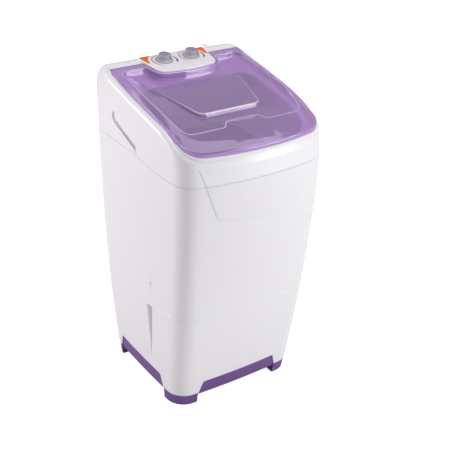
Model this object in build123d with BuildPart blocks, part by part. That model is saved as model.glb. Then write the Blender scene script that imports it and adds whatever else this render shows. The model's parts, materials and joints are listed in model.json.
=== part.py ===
# Semi-automatic washing machine: a top-loading tub in a tapered cabinet, with a sloping
# top cover, a clear lid hinged at the back, two knobs and a belt drive under the tub.
# Millimetres, +Z up. The origin is on the floor under the middle of the machine, and
# the front faces -Y.
import math
import os

from build123d import *

os.makedirs("parts", exist_ok=True)

# Body outline. It is widest at the seam under the top cover and tapers to the floor.
seam_height = 772.0
base_half_width = 214.0
seam_half_width = 235.0
width_curve = 2.0
side_bow_base = 5.0
side_bow_seam = 8.0
front_mid_base = 174.0
front_mid_seam = 279.0
front_curve = 1.4
front_bow_base = 8.0
front_bow_seam = 33.0
front_lean = 0.09
rear_mid_base = 242.0
rear_mid_seam = 280.0
rear_curve = 3.3
rear_bow = 6.0
corner_radius = 62.0
body_wall = 3.0

# Legs and the openings between them, at the foot of the cabinet.
leg_height = 41.0
notch_height = 84.0
front_notch_half = 143.0
side_notch_half = 136.0
side_notch_middle = 42.0
notch_slant = 13.0
notch_radius = 8.0

# Shield-shaped raised field on the front, shallow crease and side recesses.
shield_rise = 2.0
shield_bottom = 645.0
shield_corner_height = 666.0
shield_corner_half = 140.0
shield_top_half = 208.0
shield_radius = 22.0
crease_height = 338.0
crease_width = 2.4
crease_depth = 1.2
crease_front_end = 59.0
crease_side_end = 120.0
recess_top = 318.0
recess_tip = 119.0
recess_front = 63.0
recess_rear = 32.0
recess_tip_y = 37.0
recess_depth = 12.0
groove_top = 430.0
groove_bottom = 363.0
groove_depth = 1.2
groove_width = 2.6

# Seam between cabinet and top cover, which climbs on the sides.
seam_side_rise = 19.0
lip_wall = 3.0
lip_clearance = 0.3

# Rear service opening and its cover.
cover_half_width = 165.0
cover_bottom = 130.0
cover_top = 640.0
cover_radius = 20.0
cover_thickness = 2.5
cover_gap = 0.5
cover_ledge = 14.0
vent_length = 80.0
vent_height = 4.0
vent_pitch = 16.0
vent_count = 6
vent_middle = 300.0

# Base frame with corner feet.
base_clearance = 0.3
base_wall = 4.0
base_bottom = 33.0
base_top = 112.0
base_flange = 22.0
base_flange_thickness = 6.0
foot_inset = 1.5
foot_lift = 1.5
foot_wall = 4.0
foot_plate = 5.0
pad_radius = 15.0
pad_height = 6.0
pad_boss_wall = 4.0
foot_x = 176.0
foot_front_y = -130.0
foot_rear_y = 206.0

# Top cover: the side profile of its upper surface is a spline, given as heights above the seam.
rim_front_rise = 74.0
rim_back_rise = 206.0
crest_rise = 215.0
rim_fillet = 8.0
cover_wall = 3.0
seat_depth = 3.0
seat_width = 8.0
deck_depth = 18.0
deck_wall = 3.0

# Tub mouth: a funnel from the deck down into the tub.
mouth_half_width = 198.0
mouth_front = 238.0
mouth_rear = 56.0
mouth_radius = 60.0
mouth_low_half_width = 191.0
mouth_low_front = 208.0
mouth_low_rear = 196.0
mouth_wall = 3.0
mouth_skirt = 14.0

# Control pod and panel. The panel plane slopes down to the front.
pod_slope = 8.5
pod_back_y = 209.0
pod_back_height = 991.0
pod_half_width = 112.0
pod_front_y = 92.0
pod_front_half = 98.0
pod_front_bow = 10.0
pod_radius = 28.0
pod_wall = 4.0
pod_edge_fillet = 1.5
box_bottom = 930.0
panel_margin = 2.0
panel_thickness = 2.0
inlay_thickness = 0.6
triangle_side = 53.0
triangle_inner_x = 101.0
triangle_inner_y = 157.0
triangle_curve = 48.0
dial_thin_radius = 35.0
dial_thick_radius = 39.0
dial_thin_width = 1.0
dial_thick_width = 4.0

# Lid. Its top profile is a spline, given as heights above the seam.
lid_side_gap = 17.0
lid_front_gap = 9.0
lid_back_gap = 102.0
lid_recess_gap = 1.0
lid_hinge_gap = 5.0
lid_wall = 2.6
lid_corner_radius = 62.0
lid_front_bow = 26.0
lid_side_bow = 6.0
lid_back_radius = 6.0
lid_lift = 0.4
lid_pod_gap = 3.0
dish_front_half = 186.0
dish_half_width = 208.0
dish_back_half = 203.0
dish_front_y = -190.0
dish_back_y = 146.0
dish_radius = 28.0
dish_pod_margin = 10.0
dish_foot_drop = 8.0
dish_wall_drop = 3.2
plateau_rise = 12.0
plateau_front_half = 100.0
plateau_back_half = 146.0
plateau_front_y = -117.0
plateau_back_y = 62.0
plateau_radius = 26.0
grip_tab_half = 51.0
grip_tab_foot_half = 68.0
grip_tab_depth = 21.0
bumper_width = 5.0
bumper_length = 12.0
bumper_pocket = 2.0
bumper_front_x = 120.0
bumper_side_y = 60.0

# Lid hinge.
hinge_y = 173.0
hinge_z = 974.0
hinge_pin_radius = 2.0
hinge_x = 165.0
knuckle_radius = 4.5
knuckle_length = 14.0
ear_radius = 4.6
ear_rear = 1.0
ear_thickness = 3.0
ear_gap = 0.4
hinge_plate_drop = 9.0
hinge_relief = 0.8
hinge_trough_front = 12.0

# Hand grips in the sides of the top cover.
grip_front_y = -8.0
grip_front_z = 803.0
grip_length = 134.0
grip_slope = 19.6
grip_height = 30.0
grip_depth = 15.0
grip_lip = 8.0
grip_end_y = 114.0
grip_end_z = 852.0
grip_end_width = 15.0
grip_end_height = 25.0
grip_end_depth = 12.0

# Knobs on their shafts.
knob_x = 46.0
knob_y = 166.0
knob_skirt_radius = 27.0
knob_skirt_height = 4.0
knob_waist_radius = 17.0
knob_height = 20.0
knob_cap_radius = 15.0
knob_cap_height = 3.0
knob_gap = 0.6
knob_rib_count = 20
shaft_radius = 3.0
shaft_clearance = 0.05

# Tub, agitator and drive.
tub_middle_y = 22.0
tub_floor_height = 240.0
tub_floor = 4.0
tub_wall = 3.0
tub_top_half_width = 201.0
tub_top_front = 222.0
tub_top_rear = 228.0
tub_low_half_width = 168.0
tub_low_front = 150.0
tub_low_rear = 196.0
tub_radius = 90.0
tub_bottom_fillet = 36.0
flange_height = 756.0
flange_thickness = 4.0
shelf_thickness = 6.0
shelf_width = 21.0

screw_radius = 2.0
screw_head_radius = 4.2
screw_head_height = 2.4
screw_head_gap = 0.8
seal_thickness = 2.0
seal_width = 5.0
seal_inset = 3.3
spigot_radius = 18.0
spigot_height = 250.0
housing_radius = 28.0
housing_bottom = 150.0
housing_flange_radius = 45.0
bushing_radius = 12.0
bushing_length = 20.0
drive_shaft_radius = 7.0
drive_shaft_bottom = 82.0
drive_shaft_top = 296.0
running_gap = 0.05
bracket_height = 229.0
bracket_thickness = 3.0
bracket_width = 84.0
bracket_bolt_ring = 37.0

# Agitator.
agitator_radius = 150.0
agitator_bottom = 254.0
agitator_plate = 6.0
agitator_hub_radius = 40.0
agitator_hub_top = 300.0
agitator_fin_height = 26.0
agitator_fin_thickness = 8.0
agitator_cap_radius = 22.0
agitator_cap_height = 6.0

# Motor, pulleys and belt.
motor_x = 117.0
motor_y = -95.0
motor_radius = 58.0
stator_radius = 56.0
stator_bottom = 166.0
stator_top = 206.0
motor_bottom = 152.0
motor_top = 220.0
motor_cap_wall = 3.0
rotor_radius = 30.0
rotor_gap = 0.5
motor_shaft_radius = 5.0
motor_shaft_top = 214.0
motor_ear_radius = 9.0
motor_ear_ring = 66.0
motor_ear_thickness = 5.0
big_pulley_radius = 95.0
small_pulley_radius = 22.0
pulley_bottom = 92.0
pulley_top = 108.0
belt_depth = 7.0
belt_height = 8.0
belt_gap = 0.3
nut_radius = 11.0
nut_height = 8.0
capacitor_x = -85.0
capacitor_y = 107.0
capacitor_radius = 20.0
capacitor_bottom = 152.0
capacitor_top = 224.0
clip_wall = 2.0
clip_height = 14.0

# Drain.
drain_x = 110.0
drain_y = 130.0
drain_radius = 13.0
drain_wall = 2.0
drain_outlet_height = 170.0
hose_wall = 2.0
clamp_width = 8.0
clamp_wall = 1.5
outlet_flange_radius = 20.0
outlet_radius = 12.0
outlet_shoulder = 1.0
outlet_reach = 14.0
gland_x = -110.0
gland_radius = 9.0
cord_radius = 4.0

# Lint filter on the rear wall of the tub.
filter_half = 44.0
filter_front = 192.0
filter_rear = 205.0
filter_bottom = 566.0
filter_top = 674.0
filter_wall = 2.0
filter_clearance = 0.3
frame_half = 50.0
frame_front = 188.0
frame_bottom = 560.0
frame_top = 656.0
filter_mesh_pitch = 9.0
filter_mesh_hole = 5.0
filter_mesh_length = 70.0

# Timer and selector under the panel.
timer_radius = 24.0
timer_depth = 28.0
switch_half = 18.0
switch_depth = 22.0
collar_radius = 7.0
hook_x = 131.0
hook_half = 7.0
hook_rise = 3.5
clip_heights = (690.0, 850.0)

# Heights at which the body outline is drawn for the loft.
section_heights = (0.0, 130.0, 290.0, 470.0, 650.0, seam_height, 1010.0)
far = 400.0


def taper(low, high, height, power):
    """Size at one height, growing quickly above the floor and levelling off at the seam."""
    share = min(height / seam_height, 1.0)
    return low + (high - low) * (1 - (1 - share) ** power)


def between_sections(size, height):
    """A size at one height. It runs straight between the heights where the outline is drawn."""
    for low, high in zip(section_heights, section_heights[1:]):
        if height <= high:
            break
    share = (height - low) / (high - low)
    return size(low) * (1 - share) + size(high) * share


def corner_half(height):
    """Distance from the middle to the side wall, at its ends."""
    return between_sections(
        lambda level: taper(base_half_width, seam_half_width, level, width_curve), height)


def front_mid(height):
    """Distance from the middle to the front wall, on the centre line."""
    return between_sections(
        lambda level: taper(front_mid_base, front_mid_seam, level, front_curve)
        - front_lean * max(level - seam_height, 0), height)


def rear_mid(height):
    """Distance from the middle to the rear wall, on the centre line."""
    return between_sections(
        lambda level: taper(rear_mid_base, rear_mid_seam, level, rear_curve), height)


def bow_depths(height):
    """How far the front and the sides bulge at one height."""
    share = min(height / seam_height, 1.0)
    return (front_bow_base + (front_bow_seam - front_bow_base) * share,
            side_bow_base + (side_bow_seam - side_bow_base) * share)


def side_half(height):
    """Distance from the middle to the side wall, at the middle of the wall."""
    return corner_half(height) + bow_depths(height)[1]


def body_section(height, inset):
    """Plan outline of the body at one height, smaller all round by inset."""
    front_bow, side_bow = bow_depths(height)
    half = corner_half(height) - inset
    front_middle = -front_mid(height) + inset
    rear_middle = rear_mid(height) - inset
    front_corner = front_middle + front_bow
    rear_corner = rear_middle - rear_bow
    middle = (front_corner + rear_corner) / 2
    with BuildSketch(Plane.XY.offset(height)) as section:
        with BuildLine():
            ThreePointArc((-half, front_corner), (0, front_middle), (half, front_corner))
            ThreePointArc((half, front_corner), (half + side_bow, middle), (half, rear_corner))
            ThreePointArc((half, rear_corner), (0, rear_middle), (-half, rear_corner))
            ThreePointArc((-half, rear_corner), (-half - side_bow, middle), (-half, front_corner))
        make_face()
        fillet(section.vertices(), corner_radius - inset)
    return section.sketch


def body_block(inset):
    """Solid body shape from the floor to above the top cover, smaller by inset."""
    with BuildPart() as block:
        for height in section_heights:
            add(body_section(height, inset))
        loft(ruled=True)
    return block.part


def body_slice(inset, bottom, top):
    """Thin level slice of the body shape."""
    with BuildPart() as block:
        add(body_section(bottom, inset))
        add(body_section(top, inset))
        loft(ruled=True)
    return block.part


def prism_up(sketch, bottom, top):
    """Plan outline drawn at floor level, carried from bottom to top."""
    with BuildPart() as block:
        with BuildSketch(Plane.XY.offset(bottom)):
            add(sketch)
        extrude(amount=top - bottom)
    return block.part


def front_prism(sketch, front, rear):
    """Outline drawn in the XZ plane, carried from y = front to y = rear."""
    with BuildPart() as block:
        with BuildSketch(Plane.XZ.offset(-rear)):
            add(sketch)
        extrude(amount=rear - front)
    return block.part


def side_prism(sketch, left, right):
    """Outline drawn in the YZ plane, carried from x = left to x = right."""
    with BuildPart() as block:
        with BuildSketch(Plane.YZ.offset(left)):
            add(sketch)
        extrude(amount=right - left)
    return block.part


def polygon(points):
    """Closed outline through straight lines."""
    with BuildSketch() as outline:
        with BuildLine():
            Polyline(*points, close=True)
        make_face()
    return outline.sketch


def rim_points(drop):
    """Side profile of the top cover from front to back, lowered by drop."""
    front = -front_mid_seam
    rear = rear_mid_seam
    rises = [
        (front - 21, rim_front_rise - 2),
        (front + 17, rim_front_rise),
        (front + 49, rim_front_rise + 12),
        (front + 83, rim_front_rise + 30),
        (front + 129, rim_front_rise + 52),
        (-85, rim_back_rise - 61),
        (45, rim_back_rise - 32),
        (rear - 103, rim_back_rise),
        (rear - 65, crest_rise),
        (rear - 30, crest_rise - 7),
        (rear + 20, crest_rise - 47),
    ]
    return [(y, seam_height + rise - drop) for y, rise in rises]


def under_rim(drop, bottom):
    """All space below the top cover's profile, lowered by drop, down to bottom."""
    points = rim_points(drop)
    with BuildSketch() as outline:
        with BuildLine():
            Spline(*points)
            Polyline(points[-1], (points[-1][0], bottom), (points[0][0], bottom), points[0])
        make_face()
    return side_prism(outline.sketch, -far, far)


def above_rim(drop):
    """All space above the top cover's profile, lowered by drop."""
    points = rim_points(drop)
    top = seam_height + far
    with BuildSketch() as outline:
        with BuildLine():
            Spline(*points)
            Polyline(points[-1], (points[-1][0], top), (points[0][0], top), points[0])
        make_face()
    return side_prism(outline.sketch, -far, far)


def seam_space(drop, bottom):
    """All space below the seam, which is level in front and climbs along the sides."""
    level = seam_height - drop
    high = level + seam_side_rise
    with BuildSketch() as outline:
        with BuildLine():
            start = Line((-far, level), (-160, level))
            climb = Spline(
                start @ 1, (-71, level + 0.27 * seam_side_rise), (-22, level + 0.7 * seam_side_rise),
                (60, high), tangents=[(1, 0), (1, 0)])
            Line(climb @ 1, (far, high))
            Polyline((far, high), (far, bottom), (-far, bottom), (-far, level))
        make_face()
    return side_prism(outline.sketch, -far, far)


def rounded_cover(inset):
    """Solid top cover shape, smaller by inset, with its upper edge rounded all the way round."""
    with BuildPart() as block:
        add(body_block(inset))
        add(under_rim(max(inset, 0), seam_height - 60), mode=Mode.INTERSECT)
        upper = block.edges().filter_by(
            lambda edge: edge.center().Z > seam_height + 50 and abs(edge.tangent_at(0.5).Z) < 0.9)
        fillet(upper, rim_fillet - inset)
    return block.part


def shield_prism():
    """Shield outline on the front, carried through the front wall."""
    with BuildSketch() as outline:
        with BuildLine():
            ThreePointArc(
                (-shield_corner_half, shield_corner_height), (0, shield_bottom),
                (shield_corner_half, shield_corner_height))
            Polyline(
                (shield_corner_half, shield_corner_height), (shield_top_half, seam_height + 90),
                (-shield_top_half, seam_height + 90), (-shield_corner_half, shield_corner_height))
        make_face()
        fillet(outline.vertices().group_by(Axis.Y)[0], shield_radius)
    return front_prism(outline.sketch, -far, -120)


# Body shapes that several pieces are cut from.
outer_body = body_block(0)
inner_body = body_block(body_wall)
shield_space = shield_prism()


def side_recess(extra):
    """Wedge cut into the left wall: widest and deepest at its flat top, ending in a point.
    extra widens it all round, for the wall behind it."""
    with BuildSketch() as outline:
        with BuildLine():
            Polyline(
                (-recess_front, recess_top), (-recess_rear, recess_top),
                (-recess_tip_y, recess_tip), close=True)
        make_face()
        offset(amount=extra, kind=Kind.INTERSECTION)
    top_x = side_half(recess_top) - recess_depth - extra
    tip_x = side_half(recess_tip) - extra
    depth = polygon([
        (-far, recess_top + far), (-top_x, recess_top + far), (-top_x, recess_top),
        (-tip_x, recess_tip), (-tip_x, 0), (-far, 0)])
    with BuildPart() as cut:
        add(side_prism(outline.sketch, -far, -120))
        add(front_prism(depth, -far, far), mode=Mode.INTERSECT)
    return cut.part


def both_sides(shape):
    """A shape for the left side together with its mirror image on the right."""
    return [shape, mirror(shape, about=Plane.YZ)]


def frame_opening_outline(grow):
    """Plan of the rear service opening, seen from behind, larger all round by grow."""
    with BuildSketch(Plane.XY) as outline:
        with Locations((0, (cover_bottom + cover_top) / 2)):
            RectangleRounded(
                2 * (cover_half_width + grow), cover_top - cover_bottom + 2 * grow,
                cover_radius + grow)
    return outline.sketch


def rear_prism(grow):
    """Service opening carried through the rear wall."""
    return front_prism(frame_opening_outline(grow), 120, far)


def front_notch_outline():
    """Opening between two legs, seen from the front."""
    half = front_notch_half
    with BuildSketch() as outline:
        with BuildLine():
            Polyline(
                (-half, -10), (-half, leg_height), (-half + notch_slant, notch_height),
                (half - notch_slant, notch_height), (half, leg_height), (half, -10), close=True)
        make_face()
        fillet(outline.vertices().group_by(Axis.Y)[-1], notch_radius)
    return outline.sketch


def side_notch_outline():
    """Opening between two legs, seen from the side."""
    front = side_notch_middle - side_notch_half
    rear = side_notch_middle + side_notch_half
    with BuildSketch() as outline:
        with BuildLine():
            Polyline(
                (front, -10), (front, leg_height), (front + notch_slant, notch_height),
                (rear - notch_slant, notch_height), (rear, leg_height), (rear, -10), close=True)
        make_face()
        fillet(outline.vertices().group_by(Axis.Y)[-1], notch_radius)
    return outline.sketch


# Places of the screws that join the base to the cabinet and the tub to its shelf, on a
# plan outline of the body at the height of each ledge.
base_screw_spots = [(-209, -60), (-209, 150), (209, -60), (209, 150), (0, -179), (0, 242)]
tub_screw_spots = [
    (-228, -110), (-229, 30), (-228, 150), (228, -110), (229, 30), (228, 150), (-90, -260),
    (90, -260), (-90, 266), (90, 266)]
cover_screw_spots = [
    (x, z) for x in (-cover_half_width + 7, cover_half_width - 7)
    for z in (cover_bottom + 30, (cover_bottom + cover_top) / 2, cover_top - 30)]
loom_radius = 4.0
loom_x = 150.0
loom_y = 263.0

# Space inside the cabinet walls, kept clear of the pockets behind the side recesses.
recess_pockets = both_sides(side_recess(body_wall))
with BuildPart() as cabinet_hollow:
    add(inner_body)
    for pocket in recess_pockets:
        add(pocket, mode=Mode.SUBTRACT)

# Raised shield field, as a slice of a slightly larger body.
with BuildPart() as shield_pad:
    add(body_block(-shield_rise))
    add(shield_space, mode=Mode.INTERSECT)

# Shallow crease round both front corners.
with BuildPart() as crease_ring:
    add(body_slice(-1, crease_height, crease_height + crease_width))
    add(body_slice(crease_depth, crease_height, crease_height + crease_width),
        mode=Mode.SUBTRACT)
    with BuildSketch(Plane.XY.offset(crease_height - 1)):
        with Locations((0, far - crease_side_end)):
            Rectangle(2 * far, 2 * far)
        Rectangle(2 * crease_front_end, 2 * far)
    extrude(amount=crease_width + 2, mode=Mode.SUBTRACT)

# Thin upright groove above each side recess.
with BuildPart() as side_grooves:
    with BuildSketch(Plane.YZ.offset(-far)):
        with Locations((-recess_front + groove_width, (groove_top + groove_bottom) / 2)):
            SlotOverall(groove_top - groove_bottom, groove_width, rotation=90)
    extrude(amount=2 * far)
    add(body_slice(groove_depth, groove_bottom - 1, groove_top + 1), mode=Mode.SUBTRACT)

# Ledges inside the cabinet: one for the base frame and one for the tub's flange.
base_shelf_bottom = base_top
tub_shelf_bottom = flange_height - shelf_thickness


def body_ring(outer_inset, inner_inset, bottom, top):
    """Level ring that follows the body outline between two insets."""
    with BuildPart() as ring:
        add(body_slice(outer_inset, bottom, top))
        add(body_slice(inner_inset, bottom - 1, top + 1), mode=Mode.SUBTRACT)
    return ring.part


base_shelf = body_ring(
    body_wall - 0.5, body_wall + base_flange, base_shelf_bottom,
    base_shelf_bottom + shelf_thickness)
tub_shelf = body_ring(
    body_wall - 0.5, body_wall + shelf_width, tub_shelf_bottom, flange_height)

# The rim that the rear cover sits on, and the space that the cover fills.
with BuildPart() as cover_rim:
    add(rear_prism(cover_ledge))
    add(body_block(cover_thickness), mode=Mode.INTERSECT)
    add(body_block(cover_thickness + body_wall), mode=Mode.SUBTRACT)
with BuildPart() as cover_seat:
    add(rear_prism(cover_gap))
    add(body_block(cover_thickness), mode=Mode.SUBTRACT)


def rear_holes(spots, radius):
    """Round holes through the rear wall at places given as x and height."""
    with BuildPart() as holes:
        with BuildSketch(Plane.XZ.offset(-far)):
            with Locations(*spots):
                Circle(radius)
        extrude(amount=far - 200)
    return holes.part


def upright_holes(spots, radius, bottom, top):
    """Round upright holes at places given in plan."""
    with BuildPart() as holes:
        with BuildSketch(Plane.XY.offset(bottom)):
            with Locations(*spots):
                Circle(radius)
        extrude(amount=top - bottom)
    return holes.part


def pod_outline(grow):
    """Plan of the control pod, larger all round by grow. Its front edge bows forward."""
    with BuildSketch() as outline:
        with BuildLine():
            front = ThreePointArc(
                (-pod_front_half, pod_front_y + pod_front_bow), (0, pod_front_y),
                (pod_front_half, pod_front_y + pod_front_bow))
            Polyline(front @ 1, (pod_half_width, pod_back_y), (-pod_half_width, pod_back_y),
                     front @ 0)
        make_face()
        fillet(outline.vertices().group_by(Axis.Y)[0], pod_radius)
        if grow:
            offset(amount=grow, kind=Kind.INTERSECTION)
    return outline.sketch


def panel_height(y):
    """Height of the sloping panel plane at one place."""
    return pod_back_height - math.tan(math.radians(pod_slope)) * (pod_back_y - y)


def pod_space(outline, drop, bottom):
    """A plan outline carried up from bottom to the sloping panel plane, lowered by drop."""
    start = pod_front_y - pod_radius
    side_view = polygon([
        (start, bottom), (far, bottom), (far, panel_height(far) - drop),
        (start, panel_height(start) - drop)])
    with BuildPart() as block:
        add(prism_up(outline, bottom, seam_height + far))
        add(side_prism(side_view, -far, far), mode=Mode.INTERSECT)
    return block.part


def lid_outline(grow):
    """Plan of the lid without its cut-out, larger all round by grow."""
    half = seam_half_width + side_bow_seam - lid_side_gap - lid_side_bow
    front = -front_mid_seam + lid_front_gap
    back = rear_mid_seam - lid_back_gap
    corner = front + lid_front_bow
    with BuildSketch() as outline:
        with BuildLine():
            ThreePointArc((-half, corner), (0, front), (half, corner))
            ThreePointArc((half, corner), (half + lid_side_bow, (corner + back) / 2), (half, back))
            Line((half, back), (-half, back))
            ThreePointArc(
                (-half, back), (-half - lid_side_bow, (corner + back) / 2), (-half, corner))
        make_face()
        fillet(outline.vertices().group_by(Axis.Y)[0], lid_corner_radius)
        fillet(outline.vertices().group_by(Axis.Y)[-1], lid_back_radius)
        if grow:
            offset(amount=grow, kind=Kind.INTERSECTION)
    return outline.sketch


def lid_seat_outline(grow):
    """Lid outline with room behind it for the hinge, less the control pod."""
    with BuildSketch() as outline:
        add(lid_outline(grow))
        back = rear_mid_seam - lid_back_gap
        with Locations((0, back)):
            Rectangle(2 * (seam_half_width + side_bow_seam - lid_side_gap - lid_side_bow + grow),
                      2 * lid_hinge_gap)
        add(pod_outline(0), mode=Mode.SUBTRACT)
    return outline.sketch


def deck_outline(grow):
    """Plan of the lower deck inside the lid's seat, with the hinge trough, less the pod."""
    half = seam_half_width + side_bow_seam - lid_side_gap - lid_side_bow
    back = rear_mid_seam - lid_back_gap
    with BuildSketch() as outline:
        add(lid_outline(grow - seat_width))
        with Locations((0, back + (lid_hinge_gap - hinge_trough_front) / 2)):
            Rectangle(2 * (half + lid_recess_gap + grow),
                      lid_hinge_gap + hinge_trough_front + 2 * grow)
        add(pod_outline(-grow), mode=Mode.SUBTRACT)
    return outline.sketch


def rounded_plan(half, front, rear, radius, height):
    """Rounded rectangle in plan at one height, from y = -front to y = rear."""
    with BuildSketch(Plane.XY.offset(height)) as outline:
        with Locations((0, (rear - front) / 2)):
            RectangleRounded(2 * half, front + rear, radius)
    return outline.sketch


def funnel_block(inset):
    """Solid shape of the tub mouth, from its lower edge to above the deck."""
    top = seam_height + rim_back_rise
    with BuildPart() as block:
        add(rounded_plan(
            mouth_low_half_width - inset, mouth_low_front - inset, mouth_low_rear - inset,
            mouth_radius - inset, flange_height - mouth_skirt))
        add(rounded_plan(
            mouth_half_width - inset, mouth_front - inset, mouth_rear - inset,
            mouth_radius - inset, top))
        loft()
    return block.part


def disc(x, y, radius, bottom, top):
    """Upright round bar."""
    with BuildPart() as bar:
        with BuildSketch(Plane.XY.offset(bottom)):
            with Locations((x, y)):
                Circle(radius)
        extrude(amount=top - bottom)
    return bar.part


def block_between(left, right, front, rear, bottom, top):
    """Rectangular block between the given limits."""
    with BuildPart() as block:
        with BuildSketch(Plane.XY.offset(bottom)):
            with Locations(((left + right) / 2, (front + rear) / 2)):
                Rectangle(right - left, rear - front)
        extrude(amount=top - bottom)
    return block.part


def spun(profile, x, y):
    """Outline given as radius and height, turned about an upright line."""
    with BuildPart() as turned:
        with BuildSketch(Plane.XZ):
            with BuildLine():
                Polyline(*profile, close=True)
            make_face()
        revolve(axis=Axis.Z)
    return Location((x, y, 0)) * turned.part


def upright_screws(spots, head_height, tip_height):
    """Round-headed screws standing upright, with their heads beyond head_height."""
    direction = 1 if head_height > tip_height else -1
    with BuildPart() as screws:
        with BuildSketch(Plane.XY.offset(min(head_height, tip_height))):
            with Locations(*spots):
                Circle(screw_radius)
        extrude(amount=abs(head_height - tip_height))
        with BuildSketch(Plane.XY.offset(head_height)):
            with Locations(*spots):
                Circle(screw_head_radius)
        extrude(amount=direction * screw_head_height)
    return screws.part


def rear_screws(spots, depth, grip):
    """Screws in the rear wall, given as x, height and the wall's place there."""
    with BuildPart() as screws:
        for x, height, wall in spots:
            with BuildSketch(Plane.XZ.offset(-wall)):
                with Locations((x, height)):
                    Circle(screw_radius)
            extrude(amount=depth)
            with BuildSketch(Plane.XZ.offset(-wall)):
                with Locations((x, height)):
                    Circle(screw_head_radius)
            extrude(amount=-grip)
    return screws.part


def rear_wall(x, height):
    """Place of the outside of the rear wall."""
    return rear_mid(height) - rear_bow * (x / corner_half(height)) ** 2


# Base frame: a ring inside the skirt of the cabinet with a hollow foot under each leg.
foot_spots = [(x, y) for x in (-foot_x, foot_x) for y in (foot_front_y, foot_rear_y)]
foot_boss_radius = pad_radius + pad_boss_wall
base_inset = body_wall + base_clearance
foot_top = leg_height - base_clearance
foot_front_limit = side_notch_middle - side_notch_half
foot_rear_limit = side_notch_middle + side_notch_half


def foot_corners(shrink, top):
    """Blocks over the four corners of the plan, smaller by shrink on their inner sides."""
    with BuildPart() as corners:
        for left, right in ((-far, -front_notch_half - shrink), (front_notch_half + shrink, far)):
            add(block_between(left, right, -far, foot_front_limit - shrink, 0, top))
            add(block_between(left, right, foot_rear_limit + shrink, far, 0, top))
    return corners.part


with BuildPart() as foot_hollow:
    add(body_slice(foot_inset + foot_wall, 0, foot_top - foot_plate))
    add(foot_corners(foot_wall, foot_top - foot_plate), mode=Mode.INTERSECT)
    for x, y in foot_spots:
        add(disc(x, y, foot_boss_radius, 0, foot_top), mode=Mode.SUBTRACT)
with BuildPart() as feet:
    add(body_slice(foot_inset, foot_lift, foot_top))
    add(foot_corners(0, foot_top), mode=Mode.INTERSECT)
    add(foot_hollow.part, mode=Mode.SUBTRACT)
with BuildPart() as base_frame:
    add(body_ring(base_inset, base_inset + base_wall, base_bottom, base_top))
    add(body_ring(base_inset + 0.2, body_wall + base_flange, base_top - base_flange_thickness,
                  base_top))
    add(feet.part)
    for x, y in foot_spots:
        add(disc(x, y, pad_radius, 0, pad_height), mode=Mode.SUBTRACT)
    add(upright_holes(base_screw_spots, screw_radius, base_top - 2 * base_flange_thickness,
                      base_top + 1), mode=Mode.SUBTRACT)
base_frame.part.label = "base_frame"
export_step(base_frame.part, "parts/base_frame.step")

# Foot pads: four rubber discs under the feet.
with BuildPart() as foot_pads:
    with BuildSketch(Plane.XY):
        with Locations(*foot_spots):
            Circle(pad_radius)
    extrude(amount=pad_height)
    chamfer(foot_pads.faces().sort_by(Axis.Z)[:4].edges(), 1)
foot_pads.part.label = "foot_pads"
export_step(foot_pads.part, "parts/foot_pads.step")

# Base screws: through the base flange into the cabinet's lower ledge.
with BuildPart() as base_screws:
    add(upright_screws(base_screw_spots, base_top - base_flange_thickness,
                       base_top + shelf_thickness))
base_screws.part.label = "base_screws"
export_step(base_screws.part, "parts/base_screws.step")


def tub_block(inset, bottom, edge):
    """Solid tub shape, smaller all round by inset, with a rounded bottom edge."""
    with BuildPart() as block:
        add(rounded_plan(
            tub_low_half_width - inset, tub_low_front - inset, tub_low_rear - inset,
            tub_radius - inset, bottom))
        add(rounded_plan(
            tub_top_half_width - inset, tub_top_front - inset, tub_top_rear - inset,
            tub_radius - inset, flange_height + flange_thickness))
        loft()
        fillet(block.faces().sort_by(Axis.Z)[0].edges(), edge)
    return block.part


tub_inside = tub_block(tub_wall, tub_floor_height + tub_floor, tub_bottom_fillet - tub_wall)
flange_top = flange_height + flange_thickness
bracket_bolt_spots = [
    (bracket_bolt_ring * math.cos(math.radians(angle)),
     tub_middle_y + bracket_bolt_ring * math.sin(math.radians(angle)))
    for angle in (10, 100, 190, 280)]
bolt_depth = tub_floor_height + tub_floor - 1

# Tub: the wash basin, hung by its flange from the cabinet's upper ledge.
with BuildPart() as tub:
    add(tub_block(0, tub_floor_height, tub_bottom_fillet))
    add(body_slice(base_inset, flange_height, flange_top))
    add(tub_inside, mode=Mode.SUBTRACT)
    add(disc(0, tub_middle_y, spigot_radius + 6, tub_floor_height, tub_floor_height + 8))
    add(disc(0, tub_middle_y, spigot_radius, tub_floor_height - 5, tub_floor_height + 20),
        mode=Mode.SUBTRACT)
    add(disc(drain_x, drain_y, drain_radius, tub_floor_height - 5, tub_floor_height + 20),
        mode=Mode.SUBTRACT)
    add(upright_holes(tub_screw_spots, screw_radius, flange_height - 1, flange_top + 1),
        mode=Mode.SUBTRACT)
    add(upright_holes(bracket_bolt_spots, screw_radius, tub_floor_height - 5, bolt_depth),
        mode=Mode.SUBTRACT)
    add(upright_holes([(loom_x, loom_y)], loom_radius + 1, flange_height - 1, flange_top + 1),
        mode=Mode.SUBTRACT)
tub.part.label = "tub"
export_step(tub.part, "parts/tub.step")

# Tub seal: a rubber ring that the top cover's lip presses on the flange.
with BuildPart() as tub_seal:
    add(body_ring(seal_inset, seal_inset + seal_width, flange_top, flange_top + seal_thickness))
tub_seal.part.label = "tub_seal"
export_step(tub_seal.part, "parts/tub_seal.step")

# Tub screws: ten, through the flange into the ledge.
with BuildPart() as tub_screws:
    add(upright_screws(tub_screw_spots, flange_top, tub_shelf_bottom))
tub_screws.part.label = "tub_screws"
export_step(tub_screws.part, "parts/tub_screws.step")

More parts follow.
